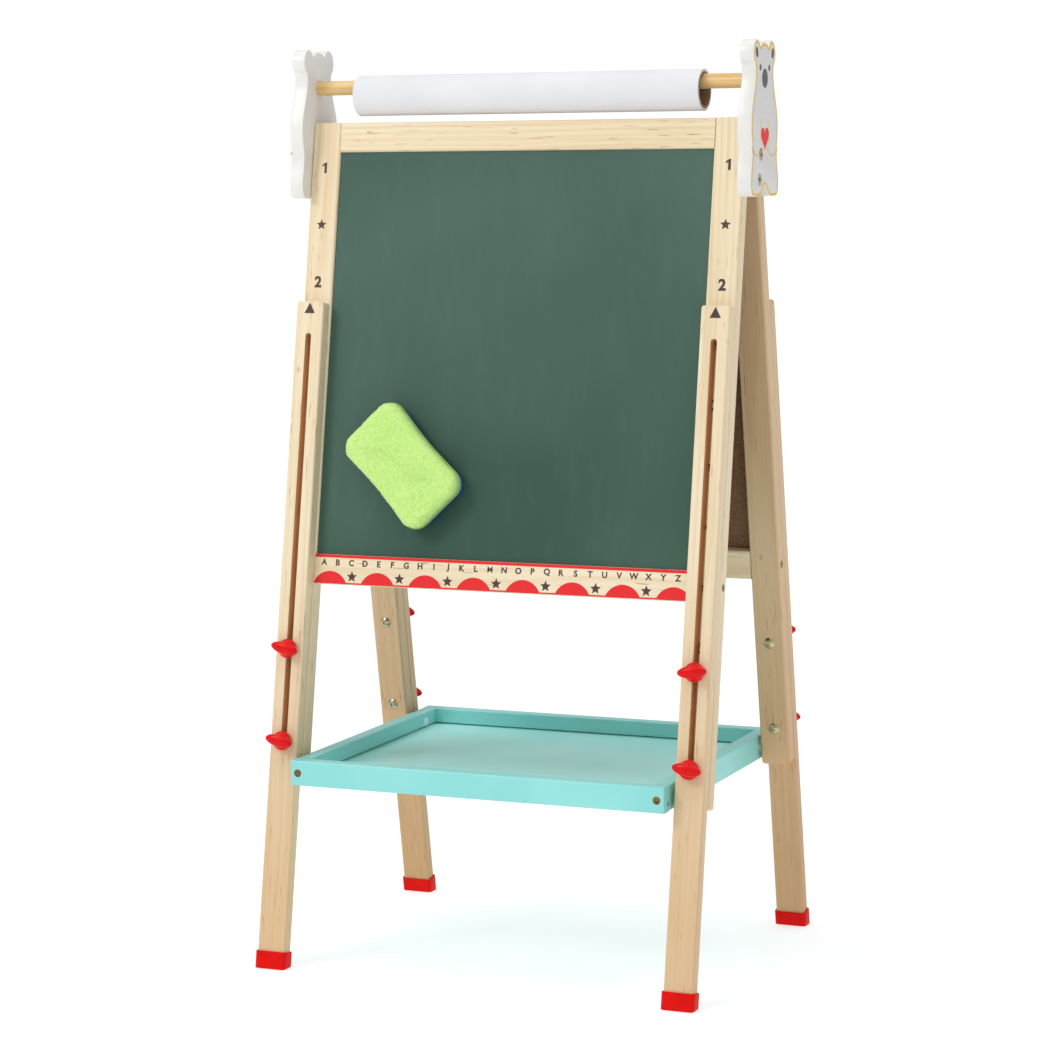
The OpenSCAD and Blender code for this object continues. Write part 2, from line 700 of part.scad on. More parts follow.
module tray_corner_screws() color(BRONZE) at_corner_screws()
    translate([screw_sink, 0, 0]) countersunk_screw(frame_screw_d, frame_screw_head_d, tray_corner_l - 1);

// A tray screw: a flat head inside the rail and a shank that reaches out
module tray_screw(reach) {
    translate([rest_gap - tray_t, 0, 0]) {
        rod_x(tray_screw_head_d, tray_screw_head_h);
        rod_x(tray_screw_d, tray_t - rest_gap + reach);
    }
}

module tray_pivot_screws() color(ZINC)
    at_tray_screws([-1]) tray_screw(tray_side_gap + tray_screw_grip);

// The rear screws stop inside their spacers, clear of the back stiles
module tray_rear_screws() color(ZINC) at_tray_screws([1]) tray_screw(spacer_t - rest_gap);

module tray_screw_caps() color([0.96, 0.96, 0.96]) at_tray_screws([-1, 1])
    translate([-tray_t, 0, 0]) rotate([0, -90, 0]) {
        ball_r = (cap_d * cap_d / 4 + cap_t * cap_t) / (2 * cap_t);
        intersection() {
            translate([0, 0, cap_t - ball_r]) sphere(ball_r, $fn = 96);
            cylinder(d = cap_d, h = cap_t + cut);
        }
    }

module tray_spacers() color(ZINC) at_tray_screws([-1, 1]) difference() {
    rod_x(spacer_d, spacer_t);
    translate([-cut, 0, 0]) rod_x(tray_screw_d + 2 * rest_gap, spacer_t + 2 * cut);
}

// ---------------------------------------------------------------- eraser

// Eraser coordinates: its back lies on the chalkboard at y = 0, and it rises to -y
module on_eraser() on_front()
    translate([eraser_x, board_recess - rest_gap, -eraser_s]) rotate([0, eraser_turn, 0])
        rotate([90, 0, 0]) children();

module eraser_slab(inset, t)
    translate([0, -eraser_w / 2 + inset, 0]) linear_extrude(t)
        round_rect(eraser_l - 2 * inset, eraser_w - 2 * inset, eraser_corner_r - inset);

module eraser_magnet() color([0.3, 0.3, 0.32]) on_eraser()
    translate([-magnet_size[0] / 2, -magnet_size[1] / 2, 0]) cube(magnet_size);

module eraser_body() color([0.15, 0.45, 0.78]) on_eraser() difference() {
    eraser_slab(3, eraser_body_t);
    translate([-magnet_size[0] / 2 - touch, -magnet_size[1] / 2 - touch, -cut])
        cube([magnet_size[0] + 2 * touch, magnet_size[1] + 2 * touch, magnet_size[2] + touch + cut]);
}

module eraser_pad() color([0.7, 0.95, 0.4]) on_eraser()
    translate([0, 0, eraser_body_t]) eraser_slab(0, eraser_pad_t);

// ---------------------------------------------------------------- all nodes

front_left_stile();
front_right_stile();
front_top_rail();
front_bottom_rail();
chalkboard_face();
chalkboard_backing();
front_frame_screws();
front_height_bolts();
front_bolt_washers();
front_hinge_leaves();
front_hinge_screws();
hinge_pins();
left_bear_panel();
right_bear_panel();
bear_screws();
tray_pivot_screws();
back_left_stile();
back_right_stile();
back_top_rail();
back_bottom_rail();
whiteboard_face();
whiteboard_backing();
back_frame_screws();
back_height_bolts();
back_bolt_washers();
back_hinge_leaves();
back_hinge_screws();
front_left_leg();
front_right_leg();
back_left_leg();
back_right_leg();
front_left_foot();
front_right_foot();
back_left_foot();
back_right_foot();
front_left_upper_knob();
front_left_lower_knob();
front_right_upper_knob();
front_right_lower_knob();
back_left_upper_knob();
back_left_lower_knob();
back_right_upper_knob();
back_right_lower_knob();
paper_dowel();
paper_core();
paper_roll();
tray_front_rail();
tray_rear_rail();
tray_left_rail();
tray_right_rail();
tray_panel();
tray_corner_screws();
tray_rear_screws();
tray_screw_caps();
tray_spacers();
eraser_body();
eraser_pad();
eraser_magnet();
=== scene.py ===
"""Looks of the kids easel: wood, paint, prints, knobs, bears, paper roll and eraser."""
import json
import math

import bmesh
import bpy
from mathutils import Matrix, Vector, noise


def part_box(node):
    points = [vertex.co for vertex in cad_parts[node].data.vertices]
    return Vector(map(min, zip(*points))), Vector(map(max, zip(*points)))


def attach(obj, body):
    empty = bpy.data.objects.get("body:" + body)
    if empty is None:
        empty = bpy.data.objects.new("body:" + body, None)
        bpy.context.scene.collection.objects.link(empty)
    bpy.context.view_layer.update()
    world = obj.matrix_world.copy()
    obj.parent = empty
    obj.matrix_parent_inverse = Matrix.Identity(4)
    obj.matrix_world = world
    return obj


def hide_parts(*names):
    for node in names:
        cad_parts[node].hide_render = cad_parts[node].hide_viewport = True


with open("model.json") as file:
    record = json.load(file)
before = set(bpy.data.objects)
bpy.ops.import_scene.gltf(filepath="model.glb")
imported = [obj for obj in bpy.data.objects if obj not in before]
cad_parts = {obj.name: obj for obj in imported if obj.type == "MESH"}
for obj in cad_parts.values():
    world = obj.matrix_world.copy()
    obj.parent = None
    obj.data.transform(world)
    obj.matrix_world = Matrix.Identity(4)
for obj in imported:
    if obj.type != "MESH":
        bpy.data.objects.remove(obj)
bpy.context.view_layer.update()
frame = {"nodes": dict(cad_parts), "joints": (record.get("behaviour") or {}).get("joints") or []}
NODES = frame["nodes"]
JOINTS = {joint["name"]: joint for joint in frame["joints"]}

MM = 0.001
LEFT, RIGHT = -1, 1
SIDE_NAMES = {LEFT: "left", RIGHT: "right"}

# ------------------------ sizes shared with the design, in metres
FRAME_T = 18 * MM            # thickness of the stiles and rails
HINGE_OFFSET = 5.5 * MM      # inner face of a frame to the hinge pin
HINGE_DROP = 4 * MM          # hinge pin below a frame's top edge
STILE_W = 32 * MM
LEG_W = 31 * MM
LEG_FACE = 15.2 * MM         # a leg's outer face, in front of the stiles' outer face
LEG_DROP = 190 * MM          # frame's top edge down to a leg's top end
RAIL_W = 31 * MM
BOTTOM_RAIL = 451.5 * MM     # frame's top edge down to the bottom rail
BOLTS = (551.7 * MM, 647.1 * MM)
SLOT_TOP = 226.25 * MM
SLOT_R = 3.25 * MM
KNOB_SEAT = 17 * MM
ERASER_X, ERASER_S = -107 * MM, 358 * MM
ERASER_L, ERASER_W = 126 * MM, 78 * MM
ERASER_BODY_T, ERASER_PAD_T = 12 * MM, 16 * MM

# ------------------------ places
hinge_z = JOINTS["fold"]["pos_m"][2]
slide_axis = JOINTS["front_left_leg_slide"]["axis"]
LEAN = math.atan2(-slide_axis[1], -slide_axis[2])


def turn(degrees, axis):
    return Matrix.Rotation(math.radians(degrees), 4, axis)


def move(x, y, z):
    return Matrix.Translation((x, y, z))


# Frame coordinates: x across, y inwards from the outer face, z up from the top edge
FRONT = (
    move(0, 0, hinge_z)
    @ Matrix.Rotation(-LEAN, 4, "X")
    @ move(0, -FRAME_T - HINGE_OFFSET, HINGE_DROP)
)
BACK = turn(180, "Z") @ FRONT
FRAMES = {"front": FRONT, "back": BACK}

front_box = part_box("front_left_stile")
back_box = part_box("back_left_stile")
FRAME_HALF = {"front": -front_box[0].x, "back": -back_box[0].x}


def leg_x(which):
    return FRAME_HALF[which] - LEG_W / 2


def mirrored(which):
    """Seen from behind, the back frame's left and right change places."""
    return 1 if which == "front" else -1


def on_face(which, x, s, out=0.0):
    """Coordinates on a frame's outer face: x across, y up, z outwards, origin s below the top edge."""
    return FRAMES[which] @ move(x, -out, -s) @ turn(90, "X")


# ------------------------ node graphs
def srgb(r, g, b):
    def linear(c):
        c /= 255
        return c / 12.92 if c <= 0.04045 else ((c + 0.055) / 1.055) ** 2.4

    return (linear(r), linear(g), linear(b), 1.0)


WHITE = (1, 1, 1, 1)


class Graph:
    """A material's node tree, with short calls for the nodes that the materials use."""

    def __init__(self, name, roughness=0.5, metallic=0.0, specular=0.5, coat=0.0, sheen=0.0):
        self.material = bpy.data.materials.new(name)
        self.material.use_nodes = True
        self.tree = self.material.node_tree
        self.shader = self.tree.nodes["Principled BSDF"]
        inputs = self.shader.inputs
        inputs["Roughness"].default_value = roughness
        inputs["Metallic"].default_value = metallic
        inputs["Specular IOR Level"].default_value = specular
        inputs["Coat Weight"].default_value = coat
        inputs["Coat Roughness"].default_value = 0.12
        inputs["Sheen Weight"].default_value = sheen

    def put(self, socket, value):
        if isinstance(value, bpy.types.NodeSocket):
            self.tree.links.new(value, socket)
        else:
            socket.default_value = value

    def add(self, kind, inputs, **settings):
        node = self.tree.nodes.new("ShaderNode" + kind)
        for key, value in settings.items():
            setattr(node, key, value)
        for key, value in inputs.items():
            self.put(node.inputs[key], value)
        return node

    def math(self, operation, *values):
        return self.add("Math", dict(enumerate(values)), operation=operation).outputs[0]

    def length(self, a, b):
        """The distance of the point (a, b) from the origin."""
        return self.math("SQRT", self.math("ADD", self.math("POWER", a, 2.0), self.math("POWER", b, 2.0)))

    def coords(self, place=None):
        """Object coordinates, in the frame of the matrix place."""
        out = self.add("TexCoord", {}).outputs["Object"]
        if place is not None:
            out = self.add(
                "Mapping",
                {"Vector": out, "Location": place.to_translation(), "Rotation": place.to_euler("XYZ")},
                vector_type="TEXTURE",
            ).outputs[0]
        return out

    def scaled(self, vector, scale):
        return self.add("VectorMath", {0: vector, 1: scale}, operation="MULTIPLY").outputs[0]

    def shifted(self, vector, offset):
        return self.add("VectorMath", {0: vector, 1: offset}, operation="ADD").outputs[0]

    def split(self, vector):
        node = self.add("SeparateXYZ", {0: vector})
        return node.outputs[0], node.outputs[1], node.outputs[2]

    def noise(self, vector, scale, detail=2.0, roughness=0.5):
        return self.add(
            "TexNoise", {"Vector": vector, "Scale": scale, "Detail": detail, "Roughness": roughness}
        ).outputs[0]

    def remap(self, value, low, high, to_low=0.0, to_high=1.0):
        return self.add("MapRange", {0: value, 1: low, 2: high, 3: to_low, 4: to_high}).outputs[0]

    def mix(self, factor, a, b, blend="MIX"):
        node = self.add("Mix", {0: factor, 6: a, 7: b}, data_type="RGBA", blend_type=blend)
        return node.outputs[2]

    def bump(self, height, distance, strength=1.0):
        return self.add("Bump", {"Height": height, "Distance": distance, "Strength": strength}).outputs[0]

    def finish(self, color, roughness=None, normal=None):
        self.put(self.shader.inputs["Base Color"], color)
        if roughness is not None:
            self.put(self.shader.inputs["Roughness"], roughness)
        if normal is not None:
            self.put(self.shader.inputs["Normal"], normal)
        return self.material


# ------------------------ materials
PINE_LIGHT = srgb(242, 229, 199)
PINE_MID = srgb(231, 211, 172)
PINE_TAN = srgb(216, 176, 130)
PINE_LATE = srgb(207, 165, 114)
PINE_FLECK = srgb(150, 105, 70)
PINE_KNOT = srgb(168, 118, 84)
SLOT_BROWN = srgb(234, 188, 138)
SLOT_DARK = srgb(208, 156, 106)
# Painted shade: the brown that a frame's wood is multiplied towards where that frame stands in shade
PINE_PAINTED_SHADE = srgb(206, 165, 118)
FRAME_PAINTED_SHADE = {"front": 0.0, "back": 0.45}      # painted shade: how far each frame's wood is darkened with the shade tone, the back frame's because it stands in shade
RING_PITCH = 5.2 * MM
RING_WANDER = 34 * MM
GOLDEN = 0.618


def pine(name, place, seed, slot_range=None, painted_shade=0.0):
    """Pale lacquered pine whose grain runs along the place's z axis. A slot's walls are scorched brown."""
    g = Graph(name, roughness=0.45, specular=0.4)
    local = g.coords(place)
    shift = (0.37 * seed, 0.23 * seed, 0.71 * seed)

    def grain(stretch, detail, roughness=0.5):
        return g.noise(g.shifted(g.scaled(local, stretch), shift), 1.0, detail, roughness)

    wandering = grain((5, 5, 1.3), 3.0)
    x, y, z = g.split(local)
    # the tree's middle lies a little way outside the stick
    pith_x = (0.5 - (seed * GOLDEN) % 1.0) * 90 * MM
    pith_y = 35 * MM + 30 * MM * ((seed * 0.414) % 1.0)
    radius = g.length(g.math("ADD", x, pith_x), g.math("ADD", y, pith_y))
    waved = g.math("ADD", radius, g.math("MULTIPLY", wandering, RING_WANDER))
    ring = g.math("FRACT", g.math("DIVIDE", waved, RING_PITCH))
    fibre = grain((900, 900, 9), 3.0, 0.6)
    tone = grain((14, 14, 1.6), 2.0)
    streak = grain((140, 140, 2.2), 2.0)
    flecks = grain((520, 520, 34), 1.0)
    color = g.mix(g.remap(tone, 0.3, 0.75), PINE_LIGHT, PINE_MID)
    # the wood darkens towards the floor
    color = g.mix(g.remap(z, -0.45, -0.8, 0.0, 0.85), color, PINE_TAN)
    late = g.math("MULTIPLY", g.remap(ring, 0.35, 0.85), g.remap(ring, 0.9, 1.0, 1.0, 0.0))
    late = g.math("MULTIPLY", late, g.remap(streak, 0.25, 0.8, 0.08, 0.42))
    color = g.mix(late, color, PINE_LATE)
    knot_x = g.math("SUBTRACT", x, 9 * MM * math.sin(2.4 * seed))
    knot_z = g.math("MULTIPLY", g.math("ADD", z, 0.12 + 0.6 * ((seed * GOLDEN) % 1.0)), 0.6)
    knot = g.length(knot_x, knot_z)
    color = g.mix(g.remap(knot, 0.8 * MM, 2.6 * MM, 0.5, 0.0), color, PINE_KNOT)
    strand = grain((330, 330, 5), 3.0, 0.7)
    color = g.mix(g.remap(strand, 0.48, 0.72, 0.0, 0.34), color, PINE_LATE)
    color = g.mix(g.remap(fibre, 0.35, 0.75, 0.0, 0.3), color, PINE_MID)
    color = g.mix(g.remap(flecks, 0.68, 0.75, 0.0, 0.5), color, PINE_FLECK)
    # painted shade: the frame's wood is multiplied towards a darker brown
    if painted_shade:
        color = g.mix(painted_shade, color, PINE_PAINTED_SHADE, "MULTIPLY")
    rough = g.remap(fibre, 0.2, 0.8, 0.38, 0.55)
    if slot_range:
        # what lies within the slot's radius of the line between its end centres is the slot's wall
        low, high = slot_range
        beyond = g.math("MAXIMUM", g.math("SUBTRACT", low, z), g.math("SUBTRACT", z, high))
        beyond = g.math("MAXIMUM", beyond, 0.0)
        wall = g.math("LESS_THAN", g.length(x, beyond), SLOT_R * 1.02)
        scorch = g.mix(g.remap(fibre, 0.3, 0.7), SLOT_DARK, SLOT_BROWN)
        color = g.mix(wall, color, scorch)
    height = g.math("ADD", g.math("MULTIPLY", fibre, 0.6), g.math("MULTIPLY", late, -0.4))
    return g.finish(color, rough, g.bump(height, 0.00025, 0.35))


def paint(name, color, shade, along, roughness=0.35, seed=0.0):
    """Satin paint on wood: brush marks along one axis, a little unevenness and paler worn spots."""
    g = Graph(name, roughness=roughness, specular=0.5, coat=0.15)
    stretch = tuple(25 if axis == along else 420 for axis in "xyz")
    local = g.coords()
    brush = g.noise(g.shifted(g.scaled(local, stretch), (seed, seed, seed)), 1.0, 2.0)
    cloud = g.noise(local, 9.0, 3.0)
    specks = g.noise(local, 900.0, 1.0)
    tone = g.mix(g.remap(cloud, 0.3, 0.7), color, shade)
    tone = g.mix(g.remap(specks, 0.74, 0.8, 0.0, 0.25), tone, WHITE)
    rough = g.remap(brush, 0.3, 0.7, roughness - 0.05, roughness + 0.1)
    return g.finish(tone, rough, g.bump(brush, 0.0002, 0.35))


def metal(name, color, other, roughness):
    """Plated metal: patchy plating, fine scratches and dulled spots."""
    g = Graph(name, roughness=roughness, metallic=1.0)
    local = g.coords()
    patches = g.noise(local, 260.0, 3.0)
    fine = g.noise(g.scaled(local, (1, 1, 6)), 900.0, 3.0)
    tone = g.mix(g.remap(patches, 0.35, 0.65), color, other)
    rough = g.remap(fine, 0.3, 0.7, roughness - 0.08, roughness + 0.14)
    return g.finish(tone, rough, g.bump(fine, 0.00006, 0.4))


def moulded(name, color, shade, roughness, coat=0.0, grain=1400.0, depth=0.00004, specular=0.5):
    """Moulded plastic or rubber: slight flow tone and a fine surface grain."""
    g = Graph(name, roughness=roughness, coat=coat, specular=specular)
    local = g.coords()
    flow = g.noise(local, 60.0, 2.0)
    fine = g.noise(local, grain, 2.0)
    tone = g.mix(g.remap(flow, 0.35, 0.7), color, shade)
    rough = g.remap(fine, 0.3, 0.7, roughness - 0.05, roughness + 0.07)
    return g.finish(tone, rough, g.bump(fine, depth, 0.5))


def chalkboard_material():
    g = Graph("chalkboard_paint", roughness=0.5, specular=0.3)
    local = g.coords()
    smear = g.noise(local, 3.0, 2.0)
    wiped = g.noise(g.scaled(local, (60, 60, 9)), 1.0, 3.0, 0.65)
    grit = g.noise(local, 1800.0, 1.0)
    tone = g.mix(g.remap(smear, 0.35, 0.7), srgb(50, 83, 70), srgb(72, 102, 90))
    tone = g.mix(g.remap(wiped, 0.5, 0.8, 0.0, 0.07), tone, srgb(120, 145, 134))
    rough = g.remap(wiped, 0.3, 0.8, 0.38, 0.5)
    return g.finish(tone, rough, g.bump(grit, 0.00005, 0.35))


def whiteboard_material():
    g = Graph("whiteboard_paint", roughness=0.18, specular=0.5, coat=0.4)
    local = g.coords()
    ghost = g.noise(g.scaled(local, (12, 12, 4)), 1.0, 4.0, 0.6)
    ripple = g.noise(local, 320.0, 1.0)
    tone = g.mix(g.remap(ghost, 0.55, 0.8, 0.0, 0.3), srgb(246, 247, 248), srgb(226, 230, 236))
    return g.finish(tone, None, g.bump(ripple, 0.00003, 0.3))


def hardboard_material():
    g = Graph("hardboard", roughness=0.7, specular=0.3)
    local = g.coords()
    fibres = g.noise(g.scaled(local, (260, 260, 260)), 1.0, 4.0, 0.7)
    blotch = g.noise(local, 7.0, 3.0)
    tone = g.mix(g.remap(fibres, 0.3, 0.7), srgb(92, 66, 46), srgb(140, 104, 74))
    tone = g.mix(g.remap(blotch, 0.3, 0.7, 0.0, 0.35), tone, srgb(116, 84, 62))
    return g.finish(tone, None, g.bump(fibres, 0.0002, 0.5))


SHEET_RING = 0.42 * MM         # spacing of the rings on the roll's ends


def paper_material(axis_y, axis_z):
    """White drawing paper. On the roll's ends the wound sheets show as fine rings."""
    g = Graph("paper", roughness=0.75, specular=0.25)
    local = g.coords()
    tooth = g.noise(local, 1500.0, 2.0)
    cloud = g.noise(local, 16.0, 2.0)
    _, y, z = g.split(local)
    radius = g.length(g.math("SUBTRACT", y, axis_y), g.math("SUBTRACT", z, axis_z))
    ring = g.math("FRACT", g.math("DIVIDE", radius, SHEET_RING))
    normal_x = g.split(g.add("TexCoord", {}).outputs["Normal"])[0]
    on_end = g.math("GREATER_THAN", g.math("ABSOLUTE", normal_x), 0.8)
    line = g.math("MULTIPLY", g.math("GREATER_THAN", ring, 0.72), on_end)
    tone = g.mix(g.remap(cloud, 0.3, 0.7), srgb(231, 231, 234), srgb(223, 224, 228))
    tone = g.mix(g.math("MULTIPLY", line, 0.45), tone, srgb(168, 166, 168))
    height = g.math("ADD", g.math("MULTIPLY", tooth, 0.5), g.math("MULTIPLY", line, -0.8))
    return g.finish(tone, None, g.bump(height, 0.00008, 0.5))


CARD_SPIRAL = 110 * MM         # length of one turn of the core's winding


def cardboard_material(axis_y, axis_z):
    """Brown tube board with the seam of its spiral winding."""
    g = Graph("cardboard", roughness=0.85, specular=0.2)
    local = g.coords()
    x, y, z = g.split(local)
    angle = g.math("ARCTAN2", g.math("SUBTRACT", z, axis_z), g.math("SUBTRACT", y, axis_y))
    turns = g.math("ADD", g.math("DIVIDE", x, CARD_SPIRAL), g.math("DIVIDE", angle, math.tau))
    winding = g.math("FRACT", turns)
    seam = g.math("LESS_THAN", winding, 0.012)
    fibres = g.noise(g.scaled(local, (90, 700, 700)), 1.0, 3.0, 0.7)
    tone = g.mix(g.remap(fibres, 0.3, 0.7), srgb(120, 98, 78), srgb(160, 134, 106))
    tone = g.mix(g.math("MULTIPLY", seam, 0.7), tone, srgb(82, 64, 50))
    return g.finish(tone, None, g.bump(g.math("SUBTRACT", fibres, seam), 0.00015, 0.5))


def dowel_material(place):
    g = Graph("dowel_wood", roughness=0.5, specular=0.4)
    local = g.coords(place)
    grain = g.noise(g.scaled(local, (260, 260, 5)), 1.0, 3.0, 0.6)
    pores = g.noise(g.scaled(local, (1500, 1500, 60)), 1.0, 1.0)
    tone = g.mix(g.remap(grain, 0.35, 0.7), srgb(238, 206, 148), srgb(212, 168, 104))
    tone = g.mix(g.remap(pores, 0.66, 0.75, 0.0, 0.5), tone, srgb(168, 120, 70))
    return g.finish(tone, g.remap(grain, 0.3, 0.7, 0.42, 0.58), g.bump(pores, 0.0001, 0.4))


def bear_material():
    g = Graph("bear_paint", roughness=0.38, coat=0.1)
    local = g.coords()
    rolled = g.noise(local, 420.0, 3.0)
    cloud = g.noise(local, 22.0, 2.0)
    tone = g.mix(g.remap(cloud, 0.3, 0.7), srgb(236, 235, 231), srgb(228, 227, 222))
    return g.finish(tone, g.remap(rolled, 0.3, 0.7, 0.34, 0.46), g.bump(rolled, 0.00008, 0.35))


def print_material(name, color, shade, roughness=0.5):
    """Ink: slightly uneven cover, with a fine dotted grain."""
    g = Graph(name, roughness=roughness, specular=0.4)
    local = g.coords()
    cover = g.noise(local, 380.0, 3.0, 0.7)
    dots = g.noise(local, 2400.0, 1.0)
    tone = g.mix(g.remap(cover, 0.35, 0.75), color, shade)
    return g.finish(tone, None, g.bump(dots, 0.00002, 0.3))


def plush_material(name, color, shade, tip, scale):
    """Fluffy microfibre pile: tufts with painted shade in their hollows, paler painted light on their raised
    hairs, and a soft sheen.
    """
    g = Graph(name, roughness=0.9, specular=0.15, sheen=0.6)
    g.shader.inputs["Sheen Roughness"].default_value = 0.4
    local = g.coords()
    tufts = g.noise(local, scale, 3.0, 0.65)
    hairs = g.noise(local, scale * 7, 2.0, 0.7)
    cloud = g.noise(local, 30.0, 2.0)
    # painted shade: where the tufts' bump is low, the pile takes the darker colour
    tone = g.mix(g.remap(tufts, 0.32, 0.6), shade, color)
    # painted light: where the hairs stand up in the bump, the pile turns paler
    tone = g.mix(g.remap(hairs, 0.5, 0.8, 0.0, 0.6), tone, tip)
    tone = g.mix(g.remap(cloud, 0.3, 0.7, 0.0, 0.25), tone, shade)
    height = g.math("ADD", tufts, g.math("MULTIPLY", hairs, 0.5))
    return g.finish(tone, None, g.bump(height, 0.0012, 0.8))


roll_joint = JOINTS["roll_turn"]["pos_m"]
dowel_joint = JOINTS["dowel_turn"]["pos_m"]
ZINC = metal("zinc_steel", srgb(214, 208, 188), srgb(186, 180, 158), 0.3)
YELLOW_ZINC = metal("yellow_zinc", srgb(206, 190, 140), srgb(170, 168, 150), 0.28)
BRONZE = metal("bronze_screw", srgb(150, 120, 78), srgb(96, 74, 50), 0.36)
RED_PLASTIC = moulded("red_plastic", srgb(228, 12, 16), srgb(214, 8, 12), 0.3, specular=0.18)
RED_RUBBER = moulded(
    "red_rubber", srgb(226, 16, 8), srgb(214, 12, 8), 0.45, grain=900.0, depth=0.00008, specular=0.1)
WHITE_PLASTIC = moulded("white_plastic", srgb(244, 246, 247), srgb(232, 236, 238), 0.25, coat=0.3)
BLUE_PLASTIC = moulded("blue_plastic", srgb(36, 112, 190), srgb(28, 96, 170), 0.35)
MAGNET = moulded("magnet_strip", srgb(62, 62, 66), srgb(48, 48, 52), 0.6, grain=600.0)
CHALKBOARD = chalkboard_material()
WHITEBOARD = whiteboard_material()
HARDBOARD = hardboard_material()
PAPER = paper_material(roll_joint[1], roll_joint[2])
CARDBOARD = cardboard_material(roll_joint[1], roll_joint[2])
BEAR_PAINT = bear_material()
BEAR_PRINT = print_material("bear_print", srgb(222, 222, 221), srgb(214, 214, 213), 0.4)
INK_DARK = print_material("ink_dark", srgb(72, 48, 46), srgb(88, 62, 58))
INK_RED = print_material("ink_red", srgb(234, 32, 36), srgb(224, 26, 30))
INK_YELLOW = print_material("ink_yellow", srgb(236, 196, 66), srgb(226, 182, 56))
INK_GREY = print_material("ink_grey", srgb(92, 93, 98), srgb(80, 81, 86))
LIME_PLUSH = plush_material(
    "lime_plush", srgb(218, 253, 156), srgb(182, 238, 106), srgb(240, 255, 208), 420.0)
LIME_PIPING = plush_material(
    "lime_piping", srgb(160, 216, 62), srgb(128, 188, 48), srgb(200, 240, 120), 900.0)


def dress(node, material):
    """Gives a CAD node its material."""
    slots = NODES[node].data.materials
    slots.clear()
    slots.append(material)


def dress_frames():
    seed = 1
    for which, place in FRAMES.items():
        for side, side_name in SIDE_NAMES.items():
            x = side * mirrored(which)
            stile_place = place @ move(x * (FRAME_HALF[which] - STILE_W / 2), FRAME_T / 2, 0)
            leg_place = place @ move(x * leg_x(which), -LEG_FACE / 2, 0)
            painted_shade = FRAME_PAINTED_SHADE[which]
            name = f"{which}_{side_name}_stile"
            dress(name, pine("pine_" + name, stile_place, seed, painted_shade=painted_shade))
            name = f"{which}_{side_name}_leg"
            slot_range = (-BOLTS[1], -SLOT_TOP)
            dress(name, pine("pine_" + name, leg_place, seed + 1, slot_range, painted_shade))
            seed += 2
        for rail, s in (("top", RAIL_W / 2), ("bottom", BOTTOM_RAIL + RAIL_W / 2)):
            name = f"{which}_{rail}_rail"
            rail_place = place @ move(0, FRAME_T / 2, -s) @ turn(90, "Y")
            dress(name, pine("pine_" + name, rail_place, seed))
            seed += 1
        for node in ("hinge_leaves", "hinge_screws", "bolt_washers"):
            dress(f"{which}_{node}", ZINC)
        dress(f"{which}_height_bolts", YELLOW_ZINC)
        dress(f"{which}_frame_screws", BRONZE)


TURQUOISE = srgb(150, 228, 224)
TURQUOISE_SHADE = srgb(136, 218, 215)
# Painted light: the panel's turquoise is the rails' paint made lighter, standing in for light on the tray's
# floor, which lies in the board's shade
PANEL_PAINTED_LIGHT_TURQUOISE = srgb(182, 246, 243)
PANEL_PAINTED_LIGHT_SHADE = srgb(168, 238, 235)


def dress_tray():
    rails = (("front", "x"), ("rear", "x"), ("left", "y"), ("right", "y"))
    for seed, (rail, along) in enumerate(rails, 1):
        dress(f"tray_{rail}_rail", paint("turquoise_" + rail, TURQUOISE, TURQUOISE_SHADE, along, seed=seed))
    # painted light: the panel takes the lighter copy of the turquoise
    dress("tray_panel", paint("turquoise_panel", PANEL_PAINTED_LIGHT_TURQUOISE, PANEL_PAINTED_LIGHT_SHADE, "x", 0.4, 5.0))
    dress("tray_corner_screws", BRONZE)
    dress("tray_rear_screws", ZINC)
    dress("tray_screw_caps", WHITE_PLASTIC)
    dress("tray_spacers", ZINC)


dress_frames()
dress_tray()
dress("chalkboard_face", CHALKBOARD)
dress("whiteboard_face", WHITEBOARD)
dress("chalkboard_backing", HARDBOARD)
dress("whiteboard_backing", HARDBOARD)
dress("hinge_pins", ZINC)
dress("bear_screws", YELLOW_ZINC)
dress("tray_pivot_screws", ZINC)
dress("paper_dowel", dowel_material(move(0, dowel_joint[1], dowel_joint[2]) @ turn(90, "Y")))
dress("paper_core", CARDBOARD)
dress("eraser_magnet", MAGNET)


# ------------------------ mesh tools
def mesh_object(name, bm, materials, smooth=True):
    mesh = bpy.data.meshes.new(name)
    bm.to_mesh(mesh)
    bm.free()
    for material in materials:
        mesh.materials.append(material)
    obj = bpy.data.objects.new(name, mesh)
    bpy.context.scene.collection.objects.link(obj)
    if smooth:
        mesh.shade_smooth()
    return obj


def apply_modifiers(obj):
    """Replaces an object's mesh by what its modifiers make of it."""
    bpy.context.view_layer.update()
    evaluated = obj.evaluated_get(bpy.context.evaluated_depsgraph_get())
    mesh = bpy.data.meshes.new_from_object(evaluated)
    obj.modifiers.clear()
    obj.data = mesh


def sharpen(obj, degrees=35):
    """Smooth shading, with sharp edges where faces meet at more than the angle."""
    obj.data.set_sharp_from_angle(angle=math.radians(degrees))


def bevelled_copy(node, name, width, materials):
    """A copy of a CAD node with its sharp edges rounded."""
    bm = bmesh.new()
    bm.from_mesh(NODES[node].data)
    bmesh.ops.remove_doubles(bm, verts=bm.verts, dist=1e-6)
    bmesh.ops.dissolve_limit(bm, angle_limit=math.radians(1), verts=bm.verts, edges=bm.edges)
    for face in bm.faces:
        face.material_index = 0
    obj = mesh_object(name, bm, materials)
    bevel = obj.modifiers.new("bevel", "BEVEL")
    bevel.width = width
    bevel.segments = 3
    bevel.limit_method = "ANGLE"
    bevel.angle_limit = math.radians(40)
    bevel.use_clamp_overlap = True
    apply_modifiers(obj)
    sharpen(obj)
    return obj


